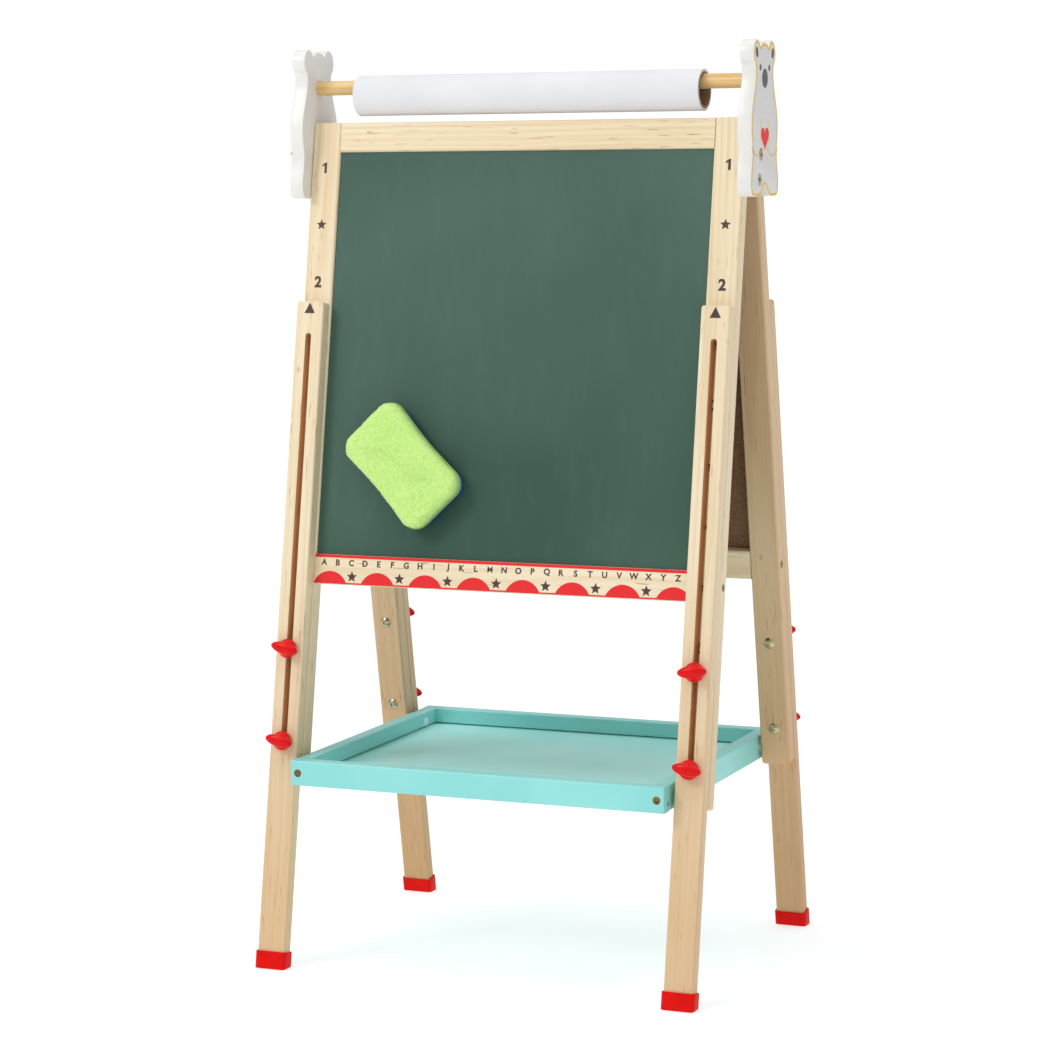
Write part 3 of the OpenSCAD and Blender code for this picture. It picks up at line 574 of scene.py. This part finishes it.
def add_flat(bm, points, place, thickness, material=0):
    """A flat closed shape of the given thickness, drawn in the place's x and y."""
    low = [bm.verts.new(place @ Vector((x, y, 0))) for x, y in points]
    high = [bm.verts.new(place @ Vector((x, y, thickness))) for x, y in points]
    faces = [bm.faces.new(high), bm.faces.new(low[::-1])]
    count = len(points)
    for i in range(count):
        j = (i + 1) % count
        faces.append(bm.faces.new((low[i], low[j], high[j], high[i])))
    for face in faces:
        face.material_index = material


def add_stroke(bm, points, width, place, thickness, closed=False, material=0):
    """A line of the given width along the points."""
    count = len(points)
    pairs = []
    for i, (x, y) in enumerate(points):
        before = points[i - 1] if closed or i > 0 else points[i]
        after = points[(i + 1) % count] if closed or i < count - 1 else points[i]
        along = Vector((after[0] - before[0], after[1] - before[1])).normalized()
        side = Vector((-along.y, along.x)) * width / 2
        pairs.append(((x + side.x, y + side.y), (x - side.x, y - side.y)))
    steps = range(count if closed else count - 1)
    rows = []
    for a, b in pairs:
        rows.append([
            bm.verts.new(place @ Vector((*a, 0))), bm.verts.new(place @ Vector((*b, 0))),
            bm.verts.new(place @ Vector((*b, thickness))), bm.verts.new(place @ Vector((*a, thickness)))])
    for i in steps:
        row, after = rows[i], rows[(i + 1) % count]
        for k in range(4):
            n = (k + 1) % 4
            face = bm.faces.new((row[k], row[n], after[n], after[k]))
            face.material_index = material
    if not closed:
        bm.faces.new(rows[0][::-1]).material_index = material
        bm.faces.new(rows[-1]).material_index = material


def tidy_normals(bm):
    """Turns every face of a closed mesh outwards."""
    bmesh.ops.recalc_face_normals(bm, faces=bm.faces)


def smooth_curve(points, closed, steps=6):
    """Points along a Catmull-Rom curve through the given ones."""
    count = len(points)

    def at(i):
        return Vector(points[i % count] if closed else points[max(0, min(count - 1, i))])

    out = []
    for i in range(count if closed else count - 1):
        a, b, c, d = at(i - 1), at(i), at(i + 1), at(i + 2)
        for k in range(steps):
            u = k / steps
            out.append(tuple(0.5 * (2 * b + (c - a) * u + (2 * a - 5 * b + 4 * c - d) * u * u
                                    + (3 * b - a - 3 * c + d) * u ** 3)))
    if not closed:
        out.append(tuple(at(count - 1)))
    return out


def star_points(radius):
    """A five-pointed star."""
    points = []
    for i in range(10):
        angle = math.radians(90 + 36 * i)
        r = radius if i % 2 == 0 else radius * 0.45
        points.append((r * math.cos(angle), r * math.sin(angle)))
    return points


def ellipse_points(x, y, rx, ry, tilt=0.0, count=28):
    c, s = math.cos(math.radians(tilt)), math.sin(math.radians(tilt))
    points = []
    for i in range(count):
        a = math.tau * i / count
        u, v = rx * math.cos(a), ry * math.sin(a)
        points.append((x + u * c - v * s, y + u * s + v * c))
    return points


def add_text(bm, text, size, place, thickness, weight):
    """Letters or digits centred on the place's origin. They stand GLYPH_HEIGHT of size high."""
    curve = bpy.data.curves.new("glyph", "FONT")
    curve.body = text
    curve.align_x = "CENTER"
    curve.size = size
    curve.offset = size * weight
    curve.extrude = thickness / 2
    curve.resolution_u = 4
    holder = bpy.data.objects.new("glyph", curve)
    bpy.context.scene.collection.objects.link(holder)
    bpy.context.view_layer.update()
    mesh = bpy.data.meshes.new_from_object(holder.evaluated_get(bpy.context.evaluated_depsgraph_get()))
    bpy.data.objects.remove(holder)
    xs = [v.co.x for v in mesh.vertices]
    ys = [v.co.y for v in mesh.vertices]
    centre = move(-(min(xs) + max(xs)) / 2, -(min(ys) + max(ys)) / 2, thickness / 2)
    mesh.transform(place @ centre)
    bm.from_mesh(mesh)
    bpy.data.meshes.remove(mesh)


# ------------------------ marks printed on the frames and legs
INK_T = 0.09 * MM
GLYPH_HEIGHT = 0.72
MARK_START, MARK_PITCH, MARK_COUNT = 47.5 * MM, 60 * MM, 9
MARK_STAR_R = 5.9 * MM
DIGIT_H, DIGIT_WEIGHT = 11.2 * MM, 0.042
# The digit 1 with its flag, for a height of 1
DIGIT_ONE = [(-0.05, 0), (0.2, 0), (0.2, 1), (0.05, 1), (-0.27, 0.8), (-0.27, 0.6), (-0.05, 0.73)]
POINTER_DROP = 12.4 * MM     # a leg's top end down to its pointer's base
POINTER_HALF, POINTER_H = 6 * MM, 11 * MM


def make_marks(which):
    """Numbers and stars down each stile, and a pointer at each leg's top."""
    stile_marks = bmesh.new()
    for side in (LEFT, RIGHT):
        x = side * leg_x(which)
        for i in range(MARK_COUNT):
            place = on_face(which, x, MARK_START + i * MARK_PITCH)
            if i == 0:
                one = [(DIGIT_H * across, DIGIT_H * (up - 0.5)) for across, up in DIGIT_ONE]
                add_flat(stile_marks, one, place, INK_T)
            elif i % 2 == 0:
                digit = str(i // 2 + 1)
                add_text(stile_marks, digit, DIGIT_H / GLYPH_HEIGHT, place, INK_T, DIGIT_WEIGHT)
            else:
                add_flat(stile_marks, star_points(MARK_STAR_R), place, INK_T)
    tidy_normals(stile_marks)
    obj = mesh_object(f"{which}_stile_marks", stile_marks, [INK_DARK], smooth=False)
    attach(obj, which + "_frame")
    for side, side_name in SIDE_NAMES.items():
        x = side * mirrored(which) * leg_x(which)
        bm = bmesh.new()
        place = on_face(which, x, LEG_DROP + POINTER_DROP, LEG_FACE)
        add_flat(bm, [(-POINTER_HALF, 0), (POINTER_HALF, 0), (0, POINTER_H)], place, INK_T)
        tidy_normals(bm)
        obj = mesh_object(f"{which}_{side_name}_leg_pointer", bm, [INK_DARK], smooth=False)
        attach(obj, f"{which}_{side_name}_leg")


# Heights on a bottom rail are measured from its top edge, upwards
BAR_TOP, BAR_BOTTOM = -0.3 * MM, -3.4 * MM
LETTER_START, LETTER_PITCH, LETTER_Y = -196 * MM, 15.6 * MM, -8.4 * MM
LETTER_SIZE, LETTER_WEIGHT, M_WEIGHT = 8.6 * MM, 0.035, 0.012      # a heavier M closes up
ARCH_START, ARCH_PITCH, ARCH_COUNT = -188.4 * MM, 54.1 * MM, 8
ARCH_BASE, ARCH_HALF, ARCH_H = -29.4 * MM, 18.5 * MM, 12 * MM
LINE_LOW, LINE_HIGH = ARCH_BASE - 1.1 * MM, ARCH_BASE + 0.4 * MM
RAIL_STAR_R, RAIL_STAR_Y = 6 * MM, -22.7 * MM
RAIL_STAR_SHIFT = 0.46       # from one arch towards the next, as a share of their pitch


def arch_points(centre, inner):
    """An arc of a circle over the arches' base, cut off where the rail ends."""
    radius = (ARCH_HALF ** 2 + ARCH_H ** 2) / (2 * ARCH_H)
    spread = math.asin(ARCH_HALF / radius)
    points = []
    for i in range(25):
        a = -spread + 2 * spread * i / 24
        x = max(-inner, min(inner, centre + radius * math.sin(a)))
        points.append((x, ARCH_BASE + radius * math.cos(a) - (radius - ARCH_H)))
    return points[::-1]


def make_rail_print(which):
    """The alphabet over a row of red arches and stars on a bottom rail."""
    inner = FRAME_HALF[which] - STILE_W
    red = bmesh.new()
    dark = bmesh.new()
    face = on_face(which, 0, BOTTOM_RAIL)
    for low, high in ((BAR_BOTTOM, BAR_TOP), (LINE_LOW, LINE_HIGH)):
        add_flat(red, [(-inner, low), (inner, low), (inner, high), (-inner, high)], face, INK_T)
    for k in range(ARCH_COUNT):
        centre = ARCH_START + ARCH_PITCH * k
        # a little thicker than the line it crosses
        add_flat(red, arch_points(centre, inner), face, INK_T * 1.1)
        if k < ARCH_COUNT - 1:
            star_place = face @ move(centre + ARCH_PITCH * RAIL_STAR_SHIFT, RAIL_STAR_Y, 0)
            add_flat(dark, star_points(RAIL_STAR_R), star_place, INK_T)
    for i in range(26):
        letter = chr(ord("A") + i)
        weight = M_WEIGHT if letter == "M" else LETTER_WEIGHT
        place = face @ move(LETTER_START + LETTER_PITCH * i, LETTER_Y, 0)
        add_text(dark, letter, LETTER_SIZE, place, INK_T, weight)
    for bm, name, ink in ((red, "red_print", INK_RED), (dark, "dark_print", INK_DARK)):
        tidy_normals(bm)
        obj = mesh_object(f"{which}_rail_{name}", bm, [ink], smooth=False)
        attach(obj, which + "_frame")


make_marks("front")
make_marks("back")
make_rail_print("front")
make_rail_print("back")


# ------------------------ bears
# Right half of the outline from the top of the head to the notch between the feet, in millimetres
BEAR_HALF = [
    (0, 151.5), (7, 150.5), (13, 147.5), (17, 152), (24, 154), (31, 150), (34.3, 142),
    (32.5, 134), (28, 128.5), (27.5, 121), (29, 112), (33.5, 99), (38.5, 86),
    (41.2, 72), (40.5, 58), (38, 46), (39.8, 32), (42.6, 20), (43, 9), (40, 2.5),
    (34, 0), (17, 0), (10, 3.5), (5, 9), (0, 11)]


def bear_outline(inset):
    """The bear's outline, drawn in from its edge."""
    half = [(x * MM, y * MM) for x, y in BEAR_HALF]
    loop = half + [(-x, y) for x, y in half[-2:0:-1]]
    curve = smooth_curve(loop, closed=True)
    out = []
    for i, (x, y) in enumerate(curve):
        before, after = curve[i - 1], curve[(i + 1) % len(curve)]
        along = Vector((after[0] - before[0], after[1] - before[1])).normalized()
        out.append((x + along.y * inset, y - along.x * inset))
    return out


HEART_Y, HEART_WIDE, HEART_TALL = 58.5 * MM, 0.76 * MM, 0.8 * MM


def heart_points():
    """The usual heart curve, about 32 by 29 before it is scaled."""
    points = []
    for i in range(40):
        a = math.tau * i / 40
        x = 16 * math.sin(a) ** 3
        y = 13 * math.cos(a) - 5 * math.cos(2 * a) - 2 * math.cos(3 * a) - math.cos(4 * a)
        points.append((x * HEART_WIDE, HEART_Y + y * HEART_TALL))
    return points


# The printed lines of one arm and one paw, in millimetres
ARM_LINE = [(-9, 76), (-12.5, 68), (-13, 60), (-11, 52), (-6.5, 45)]
PAW_LINE = [(-40, 49), (-35, 43.5), (-26, 40.5), (-17, 41.5), (-10, 46)]
EDGE_INSET, EDGE_LINE_W, ARM_LINE_W = 2.1 * MM, 2.4 * MM, 1.4 * MM
EAR_X, EAR_Y, EAR_RX, EAR_RY, EAR_TILT = 24.6 * MM, 141.5 * MM, 3.9 * MM, 5.4 * MM, -20
EYE_X, EYE_Y, EYE_RX, EYE_RY = 13.6 * MM, 127 * MM, 3.0 * MM, 3.2 * MM
NOSE_Y, NOSE_RX, NOSE_RY = 116.6 * MM, 8.8 * MM, 9.5 * MM
YELLOW_SLOT, GREY_SLOT, RED_SLOT = 0, 1, 2


def bear_prints(place):
    """The yellow edge, arms and paws, the grey ears, eyes and nose, and the red heart."""
    prints = bmesh.new()
    add_stroke(prints, bear_outline(EDGE_INSET), EDGE_LINE_W, place, INK_T, closed=True, material=YELLOW_SLOT)
    for mirror in (LEFT, RIGHT):
        for line in (ARM_LINE, PAW_LINE):
            curve = smooth_curve([(x * mirror * MM, y * MM) for x, y in line], closed=False)
            add_stroke(prints, curve, ARM_LINE_W, place, INK_T, material=YELLOW_SLOT)
        ear = ellipse_points(EAR_X * mirror, EAR_Y, EAR_RX, EAR_RY, EAR_TILT * mirror)
        add_flat(prints, ear, place, INK_T, material=GREY_SLOT)
        eye = ellipse_points(EYE_X * mirror, EYE_Y, EYE_RX, EYE_RY)
        add_flat(prints, eye, place, INK_T, material=GREY_SLOT)
    add_flat(prints, ellipse_points(0, NOSE_Y, NOSE_RX, NOSE_RY), place, INK_T, material=GREY_SLOT)
    add_flat(prints, heart_points(), place, INK_T, material=RED_SLOT)
    tidy_normals(prints)
    return prints


def make_bear(side):
    side_name = SIDE_NAMES[side]
    node = f"{side_name}_bear_panel"
    panel = bevelled_copy(node, f"{side_name}_bear", 1.0 * MM, [BEAR_PAINT, BEAR_PRINT])
    low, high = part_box(node)
    outer = high.x if side == RIGHT else low.x
    for face in panel.data.polygons:
        if face.normal.x * side > 0.99 and abs(face.center.x - outer) < 0.2 * MM:
            face.material_index = 1
    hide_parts(node)
    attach(panel, "front_frame")
    centre_y = (low.y + high.y) / 2
    # across, up and outwards, as seen by someone facing the bear
    place = Matrix(((0, 0, side, outer), (side, 0, 0, centre_y), (0, 1, 0, low.z), (0, 0, 0, 1)))
    inks = [INK_YELLOW, INK_GREY, INK_RED]
    obj = mesh_object(f"{side_name}_bear_prints", bear_prints(place), inks, smooth=False)
    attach(obj, "front_frame")


make_bear(LEFT)
make_bear(RIGHT)


# ------------------------ feet
def make_feet():
    for which in FRAMES:
        for side_name in SIDE_NAMES.values():
            node = f"{which}_{side_name}_foot"
            foot = bevelled_copy(node, node + "_cap", 0.7 * MM, [RED_RUBBER])
            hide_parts(node)
            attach(foot, f"{which}_{side_name}_leg")


make_feet()


# ------------------------ knobs
KNOB_BASE_R, KNOB_WING_L, KNOB_WING_W, KNOB_H = 10 * MM, 31 * MM, 12.5 * MM, 15 * MM
KNOB_BORE_R, KNOB_BORE_SHARE = 3.06 * MM, 0.6      # the bore's radius, and its depth as a share of the height
KNOB_ROUNDNESS = 1.9         # 2 makes the wing an ellipse
KNOB_AROUND, KNOB_RINGS = 96, 26


def dome(t, start, span, power):
    """1 up to the height start, then falling along a round crown to 0 a span above it."""
    return math.sqrt(max(0.0, 1 - max(0.0, (t - start) / span) ** power))


def knob_ring(t):
    """The knob's section at a share t of its height: its round base merged with its wing."""
    base_r = KNOB_BASE_R * dome(t, 0.16, 0.52, 2.2)
    base_r *= 0.93 + 0.07 * min(1.0, t / 0.1)
    grow = min(1.0, max(0.0, (t - 0.1) / 0.5))
    crown = dome(t, 0.62, 0.38, 2.6)
    half_l = max(KNOB_WING_L / 2 * (0.5 + 0.5 * grow ** 0.8) * crown, 1e-5)
    half_w = max(KNOB_WING_W / 2 * (0.8 + 0.2 * grow) * crown ** 0.7, 1e-5)
    points = []
    for i in range(KNOB_AROUND):
        a = math.tau * i / KNOB_AROUND
        c, s = math.cos(a), math.sin(a)
        lens = (abs(c) / half_l) ** KNOB_ROUNDNESS + (abs(s) / half_w) ** KNOB_ROUNDNESS
        wing = lens ** (-1 / KNOB_ROUNDNESS)
        blend = (wing ** 6 + base_r ** 6) ** (1 / 6)
        points.append((blend * c, blend * s, KNOB_H * t))
    return points


def circle_points(radius, z, count):
    return [(radius * math.cos(math.tau * i / count), radius * math.sin(math.tau * i / count), z)
            for i in range(count)]


def knob_mesh():
    """A moulded wing knob along +Z: a domed round base that swells into an oval wing."""
    bm = bmesh.new()
    rings = [[bm.verts.new(p) for p in knob_ring(k / KNOB_RINGS)] for k in range(KNOB_RINGS + 1)]
    mouth = [bm.verts.new(p) for p in circle_points(KNOB_BORE_R, 0, KNOB_AROUND)]
    deep = [bm.verts.new(p) for p in circle_points(KNOB_BORE_R, KNOB_H * KNOB_BORE_SHARE, KNOB_AROUND)]
    surface = [deep, mouth] + rings
    for low, high in zip(surface, surface[1:]):
        for i in range(KNOB_AROUND):
            j = (i + 1) % KNOB_AROUND
            bm.faces.new((low[i], low[j], high[j], high[i]))
    bm.faces.new(rings[-1])
    bm.faces.new(deep[::-1])
    tidy_normals(bm)
    inner = [v for ring in rings[2:] for v in ring]
    for _ in range(2):
        bmesh.ops.smooth_vert(bm, verts=inner, factor=0.5, use_axis_x=True, use_axis_y=True, use_axis_z=True)
    return bm


# Degrees that each front knob's wing is turned clockwise from level, by side and row
KNOB_TURN = {(LEFT, 0): 12, (LEFT, 1): 10, (RIGHT, 0): -6, (RIGHT, 1): 8}


def make_knobs():
    for which in FRAMES:
        for side, side_name in SIDE_NAMES.items():
            across = side * mirrored(which)
            for row, row_name in enumerate(("upper", "lower")):
                node = f"{which}_{side_name}_{row_name}_knob"
                bm = knob_mesh()
                angle = KNOB_TURN[(side, row)] * mirrored(which)
                place = on_face(which, across * leg_x(which), BOLTS[row], KNOB_SEAT)
                bm.transform(place @ turn(-angle, "Z"))
                knob = mesh_object(node + "_moulding", bm, [RED_PLASTIC])
                sharpen(knob, 50)
                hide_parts(node)
                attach(knob, node)


make_knobs()


# ------------------------ paper roll
ROLL_BORE_R = 18.3 * MM
SHEET_STEP = 0.35 * MM       # height of the step at the outermost sheet's free edge
SHEET_END = math.radians(-70)
ROLL_AROUND, ROLL_LEVELS = 144, 9


def make_roll():
    """A wound tube of paper whose outermost sheet ends in a step along its length."""
    low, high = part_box("paper_roll")
    outer = (high.z - low.z) / 2
    bm = bmesh.new()

    def ring(x, offset, wind):
        out = []
        for i in range(ROLL_AROUND + 1):
            turned = i / ROLL_AROUND
            r = offset - (SHEET_STEP * (1 - turned) if wind else 0)
            a = SHEET_END + math.tau * turned
            out.append(bm.verts.new((x, roll_joint[1] + r * math.cos(a), roll_joint[2] + r * math.sin(a))))
        return out

    def join(a, b):
        for i in range(ROLL_AROUND):
            bm.faces.new((a[i], a[i + 1], b[i + 1], b[i]))

    last = ROLL_LEVELS - 1
    ends = []
    for end in (-1, 1):
        edge = high.x * end
        rows = []
        for k in range(ROLL_LEVELS):
            r = ROLL_BORE_R + (outer - ROLL_BORE_R) * k / last
            # the wound sheets don't end quite flush
            stagger = 0.35 * MM * noise.noise(Vector((k * 1.7, end * 3.1, 0.4)))
            rows.append(ring(edge - end * (0.3 * MM - stagger), r, k == last))
        ends.append(rows)
    left, right = ends
    for rows in ends:
        for a, b in zip(rows, rows[1:]):
            join(a, b)
    for k in (0, last):
        join(left[k], right[k])
    # the free edge of the sheet, and the seams that the step leaves at the ends
    bm.faces.new((left[last][0], left[last][-1], right[last][-1], right[last][0]))
    for rows in ends:
        bm.faces.new((rows[last][0], rows[last][-1], rows[last - 1][0]))
    bmesh.ops.remove_doubles(bm, verts=bm.verts, dist=1e-7)
    tidy_normals(bm)
    roll = mesh_object("paper_winding", bm, [PAPER])
    sharpen(roll, 30)
    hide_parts("paper_roll")
    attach(roll, "roll")


make_roll()


# ------------------------ eraser
ERASER_BACK = 2.7 * MM         # the eraser's flat side, in from the frame's outer face
ERASER_TURN = 45
ERASER = FRONT @ move(ERASER_X, ERASER_BACK, -ERASER_S) @ turn(ERASER_TURN, "Y") @ turn(90, "X")
ERASER_R = 18 * MM             # corners, rounder than the plain solid's
ERASER_WAIST = 2.6 * MM        # how far its long sides draw in
PIPING_R = 1.3 * MM
CORNERS = [(1, -1), (1, 1), (-1, 1), (-1, -1)]


def rounded_rect(length, width, radius, count):
    """Evenly spread points round a rectangle with round corners, and their outward directions."""
    straight_l, straight_w = length - 2 * radius, width - 2 * radius
    corner = math.pi / 2 * radius
    total = 2 * (straight_l + straight_w) + 4 * corner

    def centre(q):
        across, up = CORNERS[q % 4]
        return Vector((across * straight_l / 2, up * straight_w / 2))

    def direction(angle):
        return Vector((math.cos(angle), math.sin(angle)))

    out = []
    for i in range(count):
        d = total * i / count
        for q in range(4):
            run = straight_w if q % 2 == 0 else straight_l
            angle = math.pi / 2 * q
            if d < run:
                facing = direction(angle)
                out.append((centre(q) + facing * radius + direction(angle + math.pi / 2) * d, facing))
                break
            d -= run
            if d < corner:
                facing = direction(angle + d / radius)
                out.append((centre(q + 1) + facing * radius, facing))
                break
            d -= corner
    return out


def slab(profile, count, length, width, radius):
    """A closed rounded slab. profile lists (inset, height) from the middle of one face to the other's."""
    bm = bmesh.new()
    rows = []
    for inset, height in profile:
        r = max(radius - inset, 0.6 * MM)
        ring = rounded_rect(length - 2 * inset, width - 2 * inset, r, count)
        rows.append([bm.verts.new((p.x, p.y, height)) for p, _ in ring])
    for a, b in zip(rows, rows[1:]):
        for i in range(count):
            j = (i + 1) % count
            bm.faces.new((a[i], a[j], b[j], b[i]))
    bm.faces.new(rows[0])
    bm.faces.new(rows[-1])
    tidy_normals(bm)
    return bm


def draw_in(bm):
    """Draws the eraser's long sides in towards their middle."""
    for v in bm.verts:
        middle = math.cos(math.pi * v.co.x / ERASER_L) ** 2
        v.co.y *= 1 - middle * ERASER_WAIST / (ERASER_W / 2)


def pad_profile(bottom, top):
    """The pad's section from the middle of its underside, round its bulging side, to its crown."""
    core = ERASER_W / 2 - 0.8 * MM
    belly, shoulder = bottom + 7 * MM, top - 2.0 * MM
    side = 0.9 * MM
    profile = [(core, bottom), (20 * MM, bottom), (4 * MM, bottom + 0.2 * MM)]
    for k in range(9):
        a = -math.pi / 2 + math.pi / 2 * k / 8
        profile.append((side + 3 * MM * (1 - math.cos(a)), belly + (belly - bottom) * math.sin(a)))
    for k in range(1, 11):
        a = math.pi / 2 * k / 10
        profile.append((side + 8 * MM * (1 - math.cos(a)), belly + (shoulder - belly) * math.sin(a)))
    inset = profile[-1][0]
    while inset < ERASER_W / 2 - 2 * MM:
        inset += 1.2 * MM
        crown = 1.1 * MM * math.sin(min(1.0, (inset - 9 * MM) / (20 * MM)) * math.pi / 2)
        profile.append((min(inset, core), shoulder + crown))
    return profile


def make_pad():
    """A crowned pillow with a thick pile."""
    bottom, top = ERASER_BODY_T, ERASER_BODY_T + ERASER_PAD_T
    pad = slab(pad_profile(bottom, top), 300, ERASER_L, ERASER_W, ERASER_R)
    pad.normal_update()
    for v in pad.verts:
        if v.co.z > bottom + 1 * MM:
            p = v.co / MM
            pile = noise.noise(p * 0.42) * 0.45 + noise.noise(p * 1.1) * 0.42 + noise.noise(p * 0.1) * 0.5
            v.co += v.normal * pile * MM
    draw_in(pad)
    pad.transform(ERASER)
    obj = mesh_object("eraser_pile", pad, [LIME_PLUSH])
    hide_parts("eraser_pad")
    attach(obj, "eraser")


def make_piping():
    """The piping sewn round the pad's lower edge."""
    piping = bmesh.new()
    count, round_count = 240, 10
    length, width = ERASER_L - 2 * PIPING_R, ERASER_W - 2 * PIPING_R
    rows = []
    for point, facing in rounded_rect(length, width, ERASER_R - PIPING_R, count):
        row = []
        for k in range(round_count):
            a = math.tau * k / round_count
            out = point + facing * PIPING_R * math.cos(a)
            z = ERASER_BODY_T + 1.1 * MM + PIPING_R * math.sin(a)
            row.append(piping.verts.new((out.x, out.y, z)))
        rows.append(row)
    for i in range(count):
        a, b = rows[i], rows[(i + 1) % count]
        for k in range(round_count):
            n = (k + 1) % round_count
            piping.faces.new((a[k], b[k], b[n], a[n]))
    tidy_normals(piping)
    draw_in(piping)
    piping.transform(ERASER)
    obj = mesh_object("eraser_piping", piping, [LIME_PIPING])
    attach(obj, "eraser")


def make_shell():
    """The moulded body, with a shallow groove round its side for the fingers."""
    length, width = ERASER_L - 6 * MM, ERASER_W - 6 * MM
    core, back = width / 2 - 0.8 * MM, ERASER_BODY_T - 0.05 * MM
    profile = [(core, 0), (1.2 * MM, 0), (0.35 * MM, 0.35 * MM), (0, 1.2 * MM), (0, 3 * MM)]
    for k in range(1, 8):
        t = k / 8
        profile.append((2.2 * MM * math.sin(math.pi * t), 3 * MM + 6.5 * MM * t))
    profile += [(0, 9.5 * MM), (0, ERASER_BODY_T - 0.8 * MM), (0.8 * MM, back), (core, back)]
    shell = slab(profile, 200, length, width, ERASER_R - 3 * MM)
    draw_in(shell)
    shell.transform(ERASER)
    obj = mesh_object("eraser_shell", shell, [BLUE_PLASTIC])
    sharpen(obj, 40)
    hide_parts("eraser_body")
    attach(obj, "eraser")


make_pad()
make_piping()
make_shell()


# ------------------------ camera, floor and light
CAMERA_PLACE = (1.21992, -2.93677, 0.82456)
CAMERA_YAW, CAMERA_PITCH, CAMERA_ROLL = 22.764, -6.753, -0.515
LENS = 105.29


def make_camera():
    """The fitted viewpoint: from the right, a little above the middle, with a long lens."""
    yaw, pitch, roll = (math.radians(angle) for angle in (CAMERA_YAW, CAMERA_PITCH, CAMERA_ROLL))
    ahead = Vector((-math.sin(yaw) * math.cos(pitch), math.cos(yaw) * math.cos(pitch), math.sin(pitch)))
    right = ahead.cross(Vector((0, 0, 1))).normalized()
    up = right.cross(ahead)
    across = right * math.cos(roll) + up * math.sin(roll)
    upward = up * math.cos(roll) - right * math.sin(roll)
    data = bpy.data.cameras.new("camera")
    data.lens = LENS
    data.clip_end = 100
    camera = bpy.data.objects.new("camera", data)
    bpy.context.scene.collection.objects.link(camera)
    placed = Matrix((across, upward, -ahead)).transposed().to_4x4()
    placed.translation = CAMERA_PLACE
    camera.matrix_world = placed
    bpy.context.scene.camera = camera


FLOOR_HALF = 30
FLOOR_DROP = 0.5 * MM          # keeps the floor clear of the feet
FLOOR_GREYS = (0.46, 0.46, 0.46, 1), (0.48, 0.48, 0.48, 1)
FLOOR_GLOW = 0.62
AMBIENT, BACKDROP = 0.52, 1.05       # the world's light on things, and its brightness behind them
KEY_PLACE, KEY_SIZE, KEY_POWER = (-1.9, -2.6, 2.9), 1.4, 47
FILL_PLACE, FILL_SIZE, FILL_POWER = (2.8, -2.2, 1.6), 2.5, 2
SUN_STRENGTH, SUN_SPREAD = 1.15, 60
LIT_POINT = (0, 0, 0.5)


def make_floor():
    """A wide pale floor that glows a little, so that it meets the backdrop without an edge."""
    bm = bmesh.new()
    bmesh.ops.create_grid(bm, x_segments=8, y_segments=8, size=FLOOR_HALF)
    g = Graph("floor", roughness=0.8, specular=0.2)
    speckle = g.noise(g.coords(), 40.0, 2.0)
    g.shader.inputs["Emission Color"].default_value = WHITE
    g.shader.inputs["Emission Strength"].default_value = FLOOR_GLOW
    material = g.finish(g.mix(speckle, *FLOOR_GREYS))
    floor = mesh_object("floor", bm, [material])
    floor.location.z = -FLOOR_DROP


def add_light(name, place, size, power):
    """A round soft light aimed at the easel's middle."""
    data = bpy.data.lights.new(name, "AREA")
    data.shape = "DISK"
    data.size = size
    data.energy = power
    light = bpy.data.objects.new(name, data)
    bpy.context.scene.collection.objects.link(light)
    light.location = place
    light.rotation_euler = (Vector(LIT_POINT) - Vector(place)).to_track_quat("-Z", "Y").to_euler()


def make_light():
    """An even white studio: soft light from all round, a key from the left and a broad light from above."""
    world = bpy.data.worlds.new("studio")
    bpy.context.scene.world = world
    world.use_nodes = True
    tree = world.node_tree
    background = tree.nodes["Background"]
    background.inputs["Color"].default_value = WHITE
    seen = tree.nodes.new("ShaderNodeLightPath").outputs["Is Camera Ray"]
    strength = tree.nodes.new("ShaderNodeMapRange")
    tree.links.new(seen, strength.inputs["Value"])
    strength.inputs["To Min"].default_value = AMBIENT
    strength.inputs["To Max"].default_value = BACKDROP
    tree.links.new(strength.outputs["Result"], background.inputs["Strength"])
    add_light("key", KEY_PLACE, KEY_SIZE, KEY_POWER)
    add_light("fill", FILL_PLACE, FILL_SIZE, FILL_POWER)
    sky = bpy.data.lights.new("overhead", "SUN")
    sky.energy = SUN_STRENGTH
    sky.angle = math.radians(SUN_SPREAD)
    overhead = bpy.data.objects.new("overhead", sky)
    bpy.context.scene.collection.objects.link(overhead)
    bpy.context.scene.view_settings.view_transform = "Standard"


make_camera()
make_floor()
make_light()
